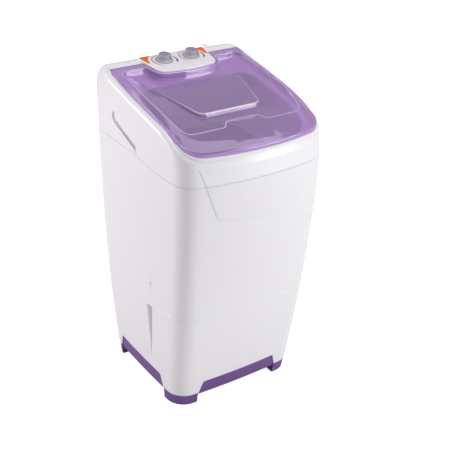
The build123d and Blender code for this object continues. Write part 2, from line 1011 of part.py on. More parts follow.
# Drive bracket: a steel plate under the tub that carries the motor and the capacitor.
bracket_top = bracket_height + bracket_thickness
motor_angle = math.degrees(math.atan2(motor_y - capacitor_y, motor_x - capacitor_x))
ear_spots = [
    (motor_x + motor_ear_ring * math.cos(math.radians(motor_angle + turn)),
     motor_y + motor_ear_ring * math.sin(math.radians(motor_angle + turn)))
    for turn in (45, 135, 225, 315)]
with BuildPart() as drive_bracket:
    with BuildSketch(Plane.XY.offset(bracket_height)):
        with Locations(((motor_x + capacitor_x) / 2, (motor_y + capacitor_y) / 2)):
            Rectangle(math.hypot(motor_x - capacitor_x, motor_y - capacitor_y), bracket_width,
                      rotation=motor_angle)
        with Locations((motor_x, motor_y)):
            Circle(motor_ear_ring + motor_ear_radius)
        with Locations((capacitor_x, capacitor_y)):
            Circle(bracket_width / 2)
        with Locations((0, tub_middle_y)):
            Circle(housing_flange_radius + 5)
            Circle(housing_radius, mode=Mode.SUBTRACT)
        with Locations((motor_x, motor_y)):
            Circle(motor_radius - 14, mode=Mode.SUBTRACT)
        with Locations(*bracket_bolt_spots):
            Circle(screw_radius, mode=Mode.SUBTRACT)
        with Locations(*ear_spots):
            Circle(screw_radius, mode=Mode.SUBTRACT)
    extrude(amount=bracket_thickness)
drive_bracket.part.label = "drive_bracket"
export_step(drive_bracket.part, "parts/drive_bracket.step")

# Bracket bolts: up through the bracket and the housing flange into the tub floor.
with BuildPart() as bracket_bolts:
    add(upright_screws(bracket_bolt_spots, bracket_height, bolt_depth))
bracket_bolts.part.label = "bracket_bolts"
export_step(bracket_bolts.part, "parts/bracket_bolts.step")

# Bearing housing: a flanged tube under the tub with a spigot through its floor.
seal_bottom = tub_floor_height - 4
with BuildPart() as bearing_housing:
    add(disc(0, tub_middle_y, housing_radius, housing_bottom, tub_floor_height))
    add(disc(0, tub_middle_y, housing_flange_radius, bracket_top, tub_floor_height))
    add(disc(0, tub_middle_y, spigot_radius, tub_floor_height, spigot_height))
    for turn in (0, 90):
        with BuildSketch(Plane.XY.offset(housing_bottom + 2 * bushing_length)):
            with Locations((0, tub_middle_y)):
                Rectangle(2 * housing_radius + 10, 4, rotation=turn + 55)
        extrude(amount=bracket_height - 1 - housing_bottom - 2 * bushing_length)
    add(disc(0, tub_middle_y, bushing_radius, housing_bottom - 1, spigot_height + 1),
        mode=Mode.SUBTRACT)
    add(upright_holes(bracket_bolt_spots, screw_radius, bracket_top - 1, tub_floor_height + 1),
        mode=Mode.SUBTRACT)
bearing_housing.part.label = "bearing_housing"
export_step(bearing_housing.part, "parts/bearing_housing.step")

# Shaft bushings: two bronze sleeves in the bearing housing.
with BuildPart() as shaft_bushings:
    for bottom in (housing_bottom, seal_bottom - bushing_length):
        add(disc(0, tub_middle_y, bushing_radius, bottom, bottom + bushing_length))
    add(disc(0, tub_middle_y, drive_shaft_radius + running_gap, 0, tub_floor_height + 20),
        mode=Mode.SUBTRACT)
shaft_bushings.part.label = "shaft_bushings"
export_step(shaft_bushings.part, "parts/shaft_bushings.step")

# Shaft seal: a lip ring above the upper bushing.
with BuildPart() as shaft_seal:
    add(disc(0, tub_middle_y, bushing_radius, seal_bottom, spigot_height - 2))
    add(disc(0, tub_middle_y, drive_shaft_radius + running_gap, 0, tub_floor_height + 20),
        mode=Mode.SUBTRACT)
shaft_seal.part.label = "shaft_seal"
export_step(shaft_seal.part, "parts/shaft_seal.step")

# Agitator: a finned disc on the tub floor, turned by the shaft.
plate_top = agitator_bottom + agitator_plate
with BuildPart() as agitator:
    add(spun([
        (drive_shaft_radius, agitator_bottom), (agitator_radius - 3, agitator_bottom),
        (agitator_radius, agitator_bottom + 3), (agitator_radius - 3, plate_top),
        (2 * agitator_hub_radius, plate_top + 3),
        (agitator_hub_radius + 8, plate_top + 14), (agitator_hub_radius - 8, agitator_hub_top - 4),
        (agitator_hub_radius - 14, agitator_hub_top), (drive_shaft_radius, agitator_hub_top)],
        0, tub_middle_y))
    for turn in (0, 60, 120):
        with BuildSketch(Plane.XY.offset(plate_top - 2)):
            with Locations((0, tub_middle_y)):
                SlotOverall(2 * agitator_radius - 16, agitator_fin_thickness, rotation=turn)
        extrude(amount=agitator_fin_height, taper=6)
    add(disc(0, tub_middle_y, drive_shaft_radius, agitator_bottom - 1, agitator_hub_top + 9),
        mode=Mode.SUBTRACT)
    add(disc(0, tub_middle_y, agitator_cap_radius, agitator_hub_top - 3, agitator_hub_top + 9),
        mode=Mode.SUBTRACT)
agitator.part.label = "agitator"
export_step(agitator.part, "parts/agitator.step")

# Agitator cap: covers the end of the shaft.
with BuildPart() as agitator_cap:
    add(disc(0, tub_middle_y, agitator_cap_radius, agitator_hub_top - 3,
             agitator_hub_top - 3 + agitator_cap_height))
    fillet(agitator_cap.faces().sort_by(Axis.Z)[-1].edges(), 2.5)
agitator_cap.part.label = "agitator_cap"
export_step(agitator_cap.part, "parts/agitator_cap.step")

# Agitator shaft: from the big pulley up to the agitator.
with BuildPart() as agitator_shaft:
    add(disc(0, tub_middle_y, drive_shaft_radius, drive_shaft_bottom, drive_shaft_top))
    chamfer(agitator_shaft.faces().sort_by(Axis.Z)[0].edges(), 1)
agitator_shaft.part.label = "agitator_shaft"
export_step(agitator_shaft.part, "parts/agitator_shaft.step")


def pulley(x, y, radius, bore):
    """Grooved pulley with a hub."""
    middle = (pulley_bottom + pulley_top) / 2
    groove = belt_height / 2 + belt_gap
    deep = radius - belt_depth
    profile = [
        (bore, pulley_bottom), (radius, pulley_bottom), (radius, middle - groove),
        (deep, middle - groove), (deep, middle + groove), (radius, middle + groove),
        (radius, pulley_top), (bore, pulley_top)]
    return spun(profile, x, y)


# Driven pulley: the big pulley, with five round openings in its web.
with BuildPart() as driven_pulley:
    add(pulley(0, tub_middle_y, big_pulley_radius, drive_shaft_radius))
    web = big_pulley_radius - belt_depth - 7
    for bottom, top in ((pulley_bottom - 1, pulley_bottom + 5), (pulley_top - 5, pulley_top + 1)):
        with BuildSketch(Plane.XY.offset(bottom)):
            with Locations((0, tub_middle_y)):
                Circle(web)
                Circle(20, mode=Mode.SUBTRACT)
        extrude(amount=top - bottom, mode=Mode.SUBTRACT)
    with BuildSketch(Plane.XY.offset(pulley_bottom - 1)):
        with Locations((0, tub_middle_y)):
            with PolarLocations((web + 20) / 2, 5):
                Circle(22)
    extrude(amount=pulley_top - pulley_bottom + 2, mode=Mode.SUBTRACT)
driven_pulley.part.label = "driven_pulley"
export_step(driven_pulley.part, "parts/driven_pulley.step")

# Pulley nut under the big pulley.
with BuildPart() as pulley_nut:
    with BuildSketch(Plane.XY.offset(pulley_bottom - nut_height)):
        with Locations((0, tub_middle_y)):
            RegularPolygon(nut_radius, 6)
            Circle(drive_shaft_radius, mode=Mode.SUBTRACT)
    extrude(amount=nut_height)
pulley_nut.part.label = "pulley_nut"
export_step(pulley_nut.part, "parts/pulley_nut.step")

# Drive belt round both pulleys.
belt_bottom = (pulley_bottom + pulley_top - belt_height) / 2


def belt_outline(depth):
    """Loop round both pulleys, at one depth below their rims."""
    with BuildSketch() as outline:
        with Locations((0, tub_middle_y)):
            Circle(big_pulley_radius - depth)
        with Locations((motor_x, motor_y)):
            Circle(small_pulley_radius - depth)
        make_hull()
    return outline.sketch


with BuildPart() as drive_belt:
    with BuildSketch(Plane.XY.offset(belt_bottom)):
        add(belt_outline(1))
        add(belt_outline(belt_depth), mode=Mode.SUBTRACT)
    extrude(amount=belt_height)
drive_belt.part.label = "drive_belt"
export_step(drive_belt.part, "parts/drive_belt.step")

# Motor stator: a ring of laminations with coil bundles above and below.
with BuildPart() as motor_stator:
    add(disc(motor_x, motor_y, stator_radius, stator_bottom, stator_top))
    add(disc(motor_x, motor_y, stator_radius - 8, stator_bottom - 7, stator_top + 7))
    add(disc(motor_x, motor_y, rotor_radius + rotor_gap, motor_bottom, motor_top),
        mode=Mode.SUBTRACT)
motor_stator.part.label = "motor_stator"
export_step(motor_stator.part, "parts/motor_stator.step")


def motor_cap(bottom, top, inner_bottom, inner_top):
    """End cap of the motor with a bore for the shaft."""
    with BuildPart() as cap:
        add(disc(motor_x, motor_y, motor_radius, bottom, top))
        add(disc(motor_x, motor_y, stator_radius, inner_bottom, inner_top), mode=Mode.SUBTRACT)
        add(disc(motor_x, motor_y, motor_shaft_radius + running_gap, bottom - 1, top + 1),
            mode=Mode.SUBTRACT)
        with BuildSketch(Plane.XY.offset(bottom - 1)):
            with Locations((motor_x, motor_y)):
                with PolarLocations(motor_radius - 20, 6):
                    Circle(6)
        extrude(amount=top - bottom + 2, mode=Mode.SUBTRACT)
    return cap.part


stator_middle = (stator_bottom + stator_top) / 2

# Upper end cap with four ears.
with BuildPart() as motor_upper_cap:
    for x, y in ear_spots:
        with BuildSketch(Plane.XY.offset(motor_top - motor_ear_thickness)):
            with Locations(((x + motor_x) / 2, (y + motor_y) / 2)):
                Rectangle(
                    motor_ear_ring, 2 * motor_ear_radius,
                    rotation=math.degrees(math.atan2(y - motor_y, x - motor_x)))
            with Locations((x, y)):
                Circle(motor_ear_radius)
        extrude(amount=motor_ear_thickness)
    add(disc(motor_x, motor_y, stator_radius, motor_bottom, motor_top), mode=Mode.SUBTRACT)
    add(motor_cap(stator_middle, motor_top, stator_middle - 1, motor_top - motor_cap_wall))
    add(upright_holes(ear_spots, screw_radius, motor_bottom, motor_top + 1), mode=Mode.SUBTRACT)
motor_upper_cap.part.label = "motor_upper_cap"
export_step(motor_upper_cap.part, "parts/motor_upper_cap.step")

# Lower end cap.
with BuildPart() as motor_lower_cap:
    add(motor_cap(motor_bottom, stator_middle, motor_bottom + motor_cap_wall, stator_middle + 1))
motor_lower_cap.part.label = "motor_lower_cap"
export_step(motor_lower_cap.part, "parts/motor_lower_cap.step")

# Motor mounts: four rubber bushes between the ears and the bracket.
with BuildPart() as motor_mounts:
    with BuildSketch(Plane.XY.offset(motor_top)):
        with Locations(*ear_spots):
            Circle(motor_ear_radius - 1)
            Circle(screw_radius, mode=Mode.SUBTRACT)
    extrude(amount=bracket_height - motor_top)
motor_mounts.part.label = "motor_mounts"
export_step(motor_mounts.part, "parts/motor_mounts.step")

# Motor bolts: up through the ears and mounts into the bracket.
with BuildPart() as motor_bolts:
    add(upright_screws(ear_spots, motor_top - motor_ear_thickness, bracket_top))
motor_bolts.part.label = "motor_bolts"
export_step(motor_bolts.part, "parts/motor_bolts.step")

# Motor rotor on its shaft.
with BuildPart() as motor_rotor:
    add(disc(motor_x, motor_y, rotor_radius, stator_bottom, stator_top))
    add(disc(motor_x, motor_y, motor_shaft_radius, motor_bottom, motor_top), mode=Mode.SUBTRACT)
motor_rotor.part.label = "motor_rotor"
export_step(motor_rotor.part, "parts/motor_rotor.step")
with BuildPart() as motor_shaft:
    add(disc(motor_x, motor_y, motor_shaft_radius, pulley_bottom - 4, motor_shaft_top))
motor_shaft.part.label = "motor_shaft"
export_step(motor_shaft.part, "parts/motor_shaft.step")
with BuildPart() as motor_pulley:
    add(pulley(motor_x, motor_y, small_pulley_radius, motor_shaft_radius))
    add(disc(motor_x, motor_y, motor_shaft_radius + 5, pulley_top, pulley_top + 12))
    add(disc(motor_x, motor_y, motor_shaft_radius, pulley_top - 1, pulley_top + 13),
        mode=Mode.SUBTRACT)
motor_pulley.part.label = "motor_pulley"
export_step(motor_pulley.part, "parts/motor_pulley.step")

# Run capacitor in a clip under the bracket.
with BuildPart() as capacitor:
    add(disc(capacitor_x, capacitor_y, capacitor_radius, capacitor_bottom, capacitor_top))
    fillet(capacitor.edges().filter_by(GeomType.CIRCLE), 3)
    for shift in (-7, 7):
        add(block_between(capacitor_x + shift - 3, capacitor_x + shift + 3, capacitor_y - 0.5,
                          capacitor_y + 0.5, capacitor_bottom - 8, capacitor_bottom + 1))
capacitor.part.label = "capacitor"
export_step(capacitor.part, "parts/capacitor.step")
with BuildPart() as capacitor_clip:
    add(disc(capacitor_x, capacitor_y, capacitor_radius + clip_wall,
             capacitor_top - 2 * clip_height, bracket_height))
    add(disc(capacitor_x, capacitor_y, capacitor_radius, 0, capacitor_top), mode=Mode.SUBTRACT)
    add(disc(capacitor_x, capacitor_y, capacitor_radius - 6, 0, bracket_height - 2),
        mode=Mode.SUBTRACT)
    add(block_between(capacitor_x - 4, capacitor_x + 4, capacitor_y, capacitor_y + far,
                      0, bracket_height - 4), mode=Mode.SUBTRACT)
capacitor_clip.part.label = "capacitor_clip"
export_step(capacitor_clip.part, "parts/capacitor_clip.step")


def cable(points, radius):
    """Round cable in straight runs with round joints."""
    with BuildPart() as runs:
        for start, end in zip(points, points[1:]):
            run = Vector(*end) - Vector(*start)
            with BuildSketch(Plane(origin=start, z_dir=run)):
                Circle(radius)
            extrude(amount=run.length)
        for point in points[1:-1]:
            with Locations(point):
                Sphere(radius)
    return runs.part


def level_tube(x, height, outer, inner, front, rear):
    """Round tube along Y."""
    with BuildPart() as tube:
        with BuildSketch(Plane.XZ.offset(-rear)):
            with Locations((x, height)):
                Circle(outer)
                if inner:
                    Circle(inner, mode=Mode.SUBTRACT)
        extrude(amount=rear - front)
    return tube.part


# Drain elbow under the tub: a short neck, a bend and a spigot that points to the rear.
neck_bottom = drain_outlet_height + drain_radius + 8
drain_wall_place = rear_wall(drain_x, drain_outlet_height)
spigot_rear = drain_y + 34
hose_inner = drain_radius - drain_wall
outlet_inner_end = drain_wall_place - 26
with BuildPart() as drain_elbow:
    add(disc(drain_x, drain_y, drain_radius, neck_bottom - 10, tub_floor_height + tub_floor))
    add(disc(drain_x, drain_y, drain_radius + 5, tub_floor_height - 4, tub_floor_height))
    add(disc(drain_x, drain_y, drain_radius + 4, drain_outlet_height - drain_radius - 4,
             neck_bottom))
    add(level_tube(drain_x, drain_outlet_height, hose_inner, 0, drain_y, spigot_rear))
    add(disc(drain_x, drain_y, hose_inner, drain_outlet_height - hose_inner,
             tub_floor_height + tub_floor + 1), mode=Mode.SUBTRACT)
    add(level_tube(drain_x, drain_outlet_height, hose_inner - drain_wall, 0, drain_y,
                   spigot_rear + 1), mode=Mode.SUBTRACT)
drain_elbow.part.label = "drain_elbow"
export_step(drain_elbow.part, "parts/drain_elbow.step")

# Drain hose from the elbow to the outlet.
with BuildPart() as drain_hose:
    add(level_tube(drain_x, drain_outlet_height, hose_inner + hose_wall, hose_inner,
                   drain_y + drain_radius + 6, outlet_inner_end + 16))
drain_hose.part.label = "drain_hose"
export_step(drain_hose.part, "parts/drain_hose.step")

# Hose clamps at both ends of the hose.
with BuildPart() as hose_clamps:
    for front in (drain_y + drain_radius + 9, outlet_inner_end + 4):
        add(level_tube(drain_x, drain_outlet_height, hose_inner + hose_wall + clamp_wall,
                       hose_inner + hose_wall, front, front + clamp_width))
        with BuildSketch(Plane.XZ.offset(-front - clamp_width)):
            with Locations((drain_x, drain_outlet_height + hose_inner + hose_wall + 4)):
                Rectangle(8, 7)
        extrude(amount=clamp_width)
hose_clamps.part.label = "hose_clamps"
export_step(hose_clamps.part, "parts/hose_clamps.step")

# Drain outlet: a flanged spigot through the rear cover.
cover_inner = drain_wall_place - cover_thickness - 2
outlet_hole_radius = outlet_radius + outlet_shoulder
with BuildPart() as drain_outlet:
    add(level_tube(drain_x, drain_outlet_height, hose_inner, 0, outlet_inner_end, cover_inner))
    add(level_tube(drain_x, drain_outlet_height, outlet_flange_radius, 0, cover_inner - 3,
                   cover_inner))
    add(level_tube(drain_x, drain_outlet_height, outlet_hole_radius, 0, cover_inner,
                   drain_wall_place + outlet_shoulder))
    add(level_tube(drain_x, drain_outlet_height, outlet_radius, 0, drain_wall_place,
                   drain_wall_place + outlet_reach))
    add(level_tube(drain_x, drain_outlet_height, hose_inner - drain_wall, 0,
                   outlet_inner_end - 1, drain_wall_place + outlet_reach + 1),
        mode=Mode.SUBTRACT)
drain_outlet.part.label = "drain_outlet"
export_step(drain_outlet.part, "parts/drain_outlet.step")

# Cord gland: where the mains cord leaves the rear cover.
gland_wall_place = rear_wall(gland_x, drain_outlet_height)
with BuildPart() as cord_gland:
    add(level_tube(gland_x, drain_outlet_height, gland_radius, 0,
                   gland_wall_place - cover_thickness - 8, gland_wall_place + 2))
    add(level_tube(gland_x, drain_outlet_height, gland_radius + 4, 0,
                   gland_wall_place - cover_thickness - 5, gland_wall_place - cover_thickness - 2))
    add(level_tube(gland_x, drain_outlet_height, gland_radius - 3, 0, gland_wall_place,
                   gland_wall_place + 12))
    add(level_tube(gland_x, drain_outlet_height, cord_radius, 0, gland_wall_place - far,
                   gland_wall_place + far), mode=Mode.SUBTRACT)
cord_gland.part.label = "cord_gland"
export_step(cord_gland.part, "parts/cord_gland.step")

# Wire loom: from the motor up the rear wall and into the control box.
loom_points = [
    (motor_x + 20, motor_y + 78, stator_middle), (172, 110, 200), (loom_x, 236, 300),
    (loom_x, loom_y - 2, 560), (loom_x, loom_y, tub_shelf_bottom - 40), (loom_x, loom_y, 880),
    (90, 228, 945), (84, 196, 950)]
with BuildPart() as wire_loom:
    add(cable(loom_points, loom_radius))
wire_loom.part.label = "wire_loom"
export_step(wire_loom.part, "parts/wire_loom.step")

# Cable clips: two blocks on the rear wall that hold the loom.
with BuildPart() as cable_clips:
    for height in clip_heights:
        add(block_between(loom_x - 9, loom_x + 9, loom_y - 9, far, height, height + 12))
    add(inner_body, mode=Mode.INTERSECT)
    add(wire_loom.part, mode=Mode.SUBTRACT)
cable_clips.part.label = "cable_clips"
export_step(cable_clips.part, "parts/cable_clips.step")

# Lint filter frame: guide channel on the rear wall of the tub.
with BuildPart() as lint_filter_frame:
    add(block_between(-frame_half, frame_half, frame_front, far, frame_bottom, frame_top))
    add(tub_inside, mode=Mode.INTERSECT)
    add(block_between(
        -filter_half - filter_clearance, filter_half + filter_clearance,
        filter_front - filter_clearance, filter_rear + filter_clearance, filter_bottom,
        frame_top + 1), mode=Mode.SUBTRACT)
    add(block_between(-filter_half + 8, filter_half - 8, 0, filter_rear, filter_bottom + 10,
                      frame_top + 1), mode=Mode.SUBTRACT)
lint_filter_frame.part.label = "lint_filter_frame"
export_step(lint_filter_frame.part, "parts/lint_filter_frame.step")

# Lint filter: a perforated tray that slides up out of its frame.
with BuildPart() as lint_filter:
    add(block_between(-filter_half, filter_half, filter_front, filter_rear, filter_bottom,
                      filter_top))
    add(block_between(-filter_half + filter_wall, filter_half - filter_wall,
                      filter_front + filter_wall, filter_rear - filter_wall,
                      filter_bottom + filter_wall, filter_top + 1), mode=Mode.SUBTRACT)
    with BuildSketch(Plane.XZ.offset(-far)):
        with Locations((0, (filter_bottom + frame_top) / 2)):
            with GridLocations(1, filter_mesh_pitch, 1, 8):
                Rectangle(filter_mesh_length, filter_mesh_hole)
    extrude(amount=2 * far, mode=Mode.SUBTRACT)
    with BuildSketch(Plane.XZ.offset(-far)):
        with Locations((0, filter_top - 9)):
            SlotOverall(44, 9)
    extrude(amount=2 * far, mode=Mode.SUBTRACT)
lint_filter.part.label = "lint_filter"
export_step(lint_filter.part, "parts/lint_filter.step")


def knob_plane(x):
    """Plane on the panel under a knob, with its normal along the knob's axis."""
    lean = math.radians(pod_slope)
    return Plane(
        origin=(x, knob_y, panel_height(knob_y)), x_dir=(1, 0, 0),
        z_dir=(0, -math.sin(lean), math.cos(lean)))


def at_knob(shape, x):
    """A shape modelled upright about the origin, moved to a knob's place."""
    return knob_plane(x).location * shape


def panel_layer(outline, upper, lower):
    """Layer of the panel between two depths below its surface."""
    with BuildPart() as layer:
        add(pod_space(outline, upper, box_bottom))
        add(pod_space(outline, lower, box_bottom), mode=Mode.SUBTRACT)
    return layer.part


def triangle_outline():
    """Coloured corner of the panel, with a concave side round the dial."""
    with BuildSketch() as outline:
        with BuildLine():
            Polyline(
                (pod_half_width - panel_margin, pod_back_y - panel_margin),
                (pod_half_width - triangle_side, pod_back_y - panel_margin),
                (triangle_inner_x, triangle_inner_y), close=True)
        make_face()
        with Locations((knob_x, knob_y)):
            Circle(triangle_curve, mode=Mode.SUBTRACT)
        add(pod_outline(-panel_margin - 0.01), mode=Mode.INTERSECT)
    return outline.sketch


def ring_sector(x, radius, width, start, sweep_angle):
    """Flat curved stroke round a knob, with a dot at its end."""
    with BuildSketch() as stroke:
        with BuildLine():
            CenterArc((x, knob_y), radius, start, sweep_angle)
            offset(amount=width / 2)
        make_face()
    return stroke.sketch


def dial_outline():
    """All printed strokes of both dials."""
    with BuildSketch() as strokes:
        for x in (-knob_x, knob_x):
            add(ring_sector(x, dial_thin_radius, dial_thin_width, 140, 110))
            add(ring_sector(x, dial_thick_radius, dial_thick_width, -35, 60))
        with BuildLine():
            line = Line((-18, pod_back_y - 8), (18, pod_back_y - 8))
            offset(amount=0.6)
        make_face()
    return strokes.sketch


panel_shape = panel_layer(pod_outline(-panel_margin), 0, panel_thickness)
triangle = panel_layer(triangle_outline(), 0, inlay_thickness)
dial_shape = panel_layer(dial_outline(), 0, inlay_thickness / 2)

# Control panel with its coloured corners and printed strokes let into it.
with BuildPart() as control_panel:
    add(panel_shape)
    add([*both_sides(triangle), dial_shape], mode=Mode.SUBTRACT)
    for x in (-knob_x, knob_x):
        add(at_knob(disc(0, 0, collar_radius, -far / 4, far / 4), x), mode=Mode.SUBTRACT)
control_panel.part.label = "control_panel"
export_step(control_panel.part, "parts/control_panel.step")
with BuildPart() as panel_triangles:
    add(both_sides(triangle))
panel_triangles.part.label = "panel_triangles"
export_step(panel_triangles.part, "parts/panel_triangles.step")
with BuildPart() as dial_markings:
    add(dial_shape)
dial_markings.part.label = "dial_markings"
export_step(dial_markings.part, "parts/dial_markings.step")

# Timer body and selector switch, screwed up against the panel by their collars.
under_panel = -panel_thickness - 0.3
shaft_bore = shaft_radius + shaft_clearance
with BuildPart() as timer_upright:
    add(disc(0, 0, timer_radius, under_panel - timer_depth, under_panel))
    add(disc(0, 0, collar_radius, under_panel, -0.4))
    add(disc(0, 0, shaft_bore, under_panel - timer_depth + 6, 1), mode=Mode.SUBTRACT)
with BuildPart() as timer_body:
    add(at_knob(timer_upright.part, -knob_x))
timer_body.part.label = "timer_body"
export_step(timer_body.part, "parts/timer_body.step")
with BuildPart() as switch_upright:
    add(block_between(-switch_half, switch_half, -switch_half, switch_half,
                      under_panel - switch_depth, under_panel))
    add(disc(0, 0, collar_radius, under_panel, -0.4))
    add(disc(0, 0, shaft_bore, under_panel - switch_depth + 6, 1), mode=Mode.SUBTRACT)
with BuildPart() as selector_switch:
    add(at_knob(switch_upright.part, knob_x))
selector_switch.part.label = "selector_switch"
export_step(selector_switch.part, "parts/selector_switch.step")

# Knobs: a wide skirt, a ribbed waist and a coloured cap let into the top.
cap_seat = knob_height - knob_cap_height
with BuildPart() as knob_upright:
    add(spun([
        (shaft_radius, knob_gap), (knob_skirt_radius, knob_gap),
        (knob_skirt_radius, knob_gap + 2), (knob_skirt_radius - 2, knob_skirt_height),
        (knob_waist_radius + 2, knob_skirt_height + 2), (knob_waist_radius + 2, knob_height - 2),
        (knob_cap_radius + 1, knob_height), (shaft_radius, knob_height)], 0, 0))
    with BuildSketch(Plane.XY.offset(knob_skirt_height + 3)):
        with PolarLocations(knob_waist_radius + 2.5, knob_rib_count):
            Circle(1.2)
    extrude(amount=knob_height - knob_skirt_height - 6, mode=Mode.SUBTRACT)
    add(disc(0, 0, knob_cap_radius, cap_seat, knob_height + 1), mode=Mode.SUBTRACT)
with BuildPart() as cap_upright:
    add(disc(0, 0, knob_cap_radius, cap_seat, knob_height + 1))
    fillet(cap_upright.faces().sort_by(Axis.Z)[-1].edges(), 0.8)
shaft_bottom = under_panel - switch_depth + 7
with BuildPart() as shaft_upright:
    add(disc(0, 0, shaft_radius, shaft_bottom, cap_seat))
with BuildPart() as timer_knob:
    add(at_knob(knob_upright.part, -knob_x))
timer_knob.part.label = "timer_knob"
export_step(timer_knob.part, "parts/timer_knob.step")
with BuildPart() as timer_knob_cap:
    add(at_knob(cap_upright.part, -knob_x))
timer_knob_cap.part.label = "timer_knob_cap"
export_step(timer_knob_cap.part, "parts/timer_knob_cap.step")
with BuildPart() as timer_shaft:
    add(at_knob(shaft_upright.part, -knob_x))
timer_shaft.part.label = "timer_shaft"
export_step(timer_shaft.part, "parts/timer_shaft.step")
with BuildPart() as selector_knob:
    add(at_knob(knob_upright.part, knob_x))
selector_knob.part.label = "selector_knob"
export_step(selector_knob.part, "parts/selector_knob.step")
with BuildPart() as selector_knob_cap:
    add(at_knob(cap_upright.part, knob_x))
selector_knob_cap.part.label = "selector_knob_cap"
export_step(selector_knob_cap.part, "parts/selector_knob_cap.step")
with BuildPart() as selector_shaft:
    add(at_knob(shaft_upright.part, knob_x))
selector_shaft.part.label = "selector_shaft"
export_step(selector_shaft.part, "parts/selector_shaft.step")

# Control box cover: closes the box under the panel.
with BuildPart() as control_box_cover:
    with BuildSketch(Plane.XY.offset(box_bottom - 3)):
        add(pod_outline(0))
    extrude(amount=3)
    with BuildSketch(Plane.XY.offset(box_bottom)):
        add(pod_outline(-pod_wall - 0.3))
        add(pod_outline(-pod_wall - 2.3), mode=Mode.SUBTRACT)
    extrude(amount=5)
    add(wire_loom.part, mode=Mode.SUBTRACT)
control_box_cover.part.label = "control_box_cover"
export_step(control_box_cover.part, "parts/control_box_cover.step")


def lid_points(drop):
    """Side profile of the lid's upper surface from front to back, lowered by drop."""
    profile = [
        (-front_mid_seam - 21, 78), (-front_mid_seam + 7, 94), (-front_mid_seam + 44, 108),
        (-front_mid_seam + 89, 122), (-front_mid_seam + 129, 137), (-110, 153), (-50, 170),
        (30, 187), (95, 199), (140, 206), (rear_mid_seam - lid_back_gap, 210),
        (rear_mid_seam, 213)]
    return [(y, seam_height + rise - drop) for y, rise in profile]


def under_lid(drop):
    """All space below the lid's profile, lowered by drop."""
    points = lid_points(drop)
    with BuildSketch() as outline:
        with BuildLine():
            Spline(*points)
            Polyline(points[-1], (points[-1][0], seam_height), (points[0][0], seam_height),
                     points[0])
        make_face()
    return side_prism(outline.sketch, -far, far)


def profile_height(points, y):
    """Height of a profile at one place, by straight lines between its points."""
    for (y0, z0), (y1, z1) in zip(points, points[1:]):
        if y0 <= y <= y1:
            return z0 + (z1 - z0) * (y - y0) / (y1 - y0)
    return points[-1][1]


def lid_plan(inset):
    """Plan of the lid with its cut-out round the control pod, smaller by inset."""
    with BuildSketch() as outline:
        add(lid_outline(-inset))
        add(pod_outline(lid_pod_gap + inset), mode=Mode.SUBTRACT)
    return outline.sketch


def dish_outline(grow):
    """Plan of the lid's dish: its edge is the ridge line, set back round the grip."""
    with BuildSketch() as outline:
        with BuildLine():
            ThreePointArc(
                (-dish_front_half, dish_front_y), (-dish_half_width, (dish_front_y + dish_back_y) / 2),
                (-dish_back_half, dish_back_y))
            Line((-dish_back_half, dish_back_y), (dish_back_half, dish_back_y))
            ThreePointArc(
                (dish_back_half, dish_back_y), (dish_half_width, (dish_front_y + dish_back_y) / 2),
                (dish_front_half, dish_front_y))
            Line((dish_front_half, dish_front_y), (-dish_front_half, dish_front_y))
        make_face()
        fillet(outline.vertices(), dish_radius)
        with BuildLine():
            Polyline(
                (-grip_tab_foot_half, dish_front_y - 9), (-grip_tab_half, dish_front_y + grip_tab_depth),
                (grip_tab_half, dish_front_y + grip_tab_depth), (grip_tab_foot_half, dish_front_y - 9),
                close=True)
        make_face(mode=Mode.SUBTRACT)
        add(pod_outline(dish_pod_margin), mode=Mode.SUBTRACT)
        if grow:
            offset(amount=grow, kind=Kind.INTERSECTION)
    return outline.sketch


def dish_section(y, top_half, foot_half, top, foot):
    """Cross-section of the dish at one place: wide at the ridge and narrower at its foot."""
    high = seam_height + far
    with BuildSketch(Plane.XZ.offset(-y)) as section:
        with BuildLine():
            Polyline(
                (-top_half, high), (-top_half, top), (-foot_half, foot), (foot_half, foot),
                (top_half, top), (top_half, high), close=True)
        make_face()
    return section.sketch


def dish_space(drop):
    """Space above the sloping floor of the lid's dish, lowered by drop."""
    ridge = lid_points(0)
    rim = rim_points(0)
    stations = [
        (dish_front_y - 4, dish_front_half + 22, plateau_front_half, 1.0),
        (plateau_front_y, dish_half_width + 16, plateau_front_half, 0),
        (-30, dish_half_width + 16, (plateau_front_half + plateau_back_half) / 2, 0),
        (plateau_back_y, dish_half_width + 16, plateau_back_half, 0),
        (dish_back_y + 4, dish_half_width + 16, plateau_back_half + 20, 0),
    ]
    with BuildPart() as space:
        for y, top_half, foot_half, shallow in stations:
            top = profile_height(ridge, y) - drop
            foot = profile_height(rim, y) - dish_foot_drop - drop
            if shallow:
                foot = top - shallow
            add(dish_section(y, top_half, foot_half, top, foot))
        loft(ruled=True)
    return space.part


def plateau_block(inset, drop):
    """Raised field on the floor of the dish, which fades towards the back."""
    with BuildSketch() as outline:
        with BuildLine():
            Polyline(
                (-plateau_front_half, plateau_front_y), (plateau_front_half, plateau_front_y),
                (plateau_back_half, plateau_back_y), (-plateau_back_half, plateau_back_y),
                close=True)
        make_face()
        fillet(outline.vertices().group_by(Axis.Y)[0], plateau_radius)
        if inset:
            offset(amount=-inset, kind=Kind.INTERSECTION)
    rim = rim_points(dish_foot_drop + drop)
    front_top = profile_height(rim, plateau_front_y) + plateau_rise
    side_view = polygon([
        (plateau_front_y - 1, seam_height), (plateau_back_y, seam_height),
        (plateau_back_y, profile_height(rim, plateau_back_y)), (plateau_front_y - 1, front_top)])
    with BuildPart() as block:
        add(prism_up(outline.sketch, seam_height, seam_height + far))
        add(side_prism(side_view, -far, far), mode=Mode.INTERSECT)
    return block.part


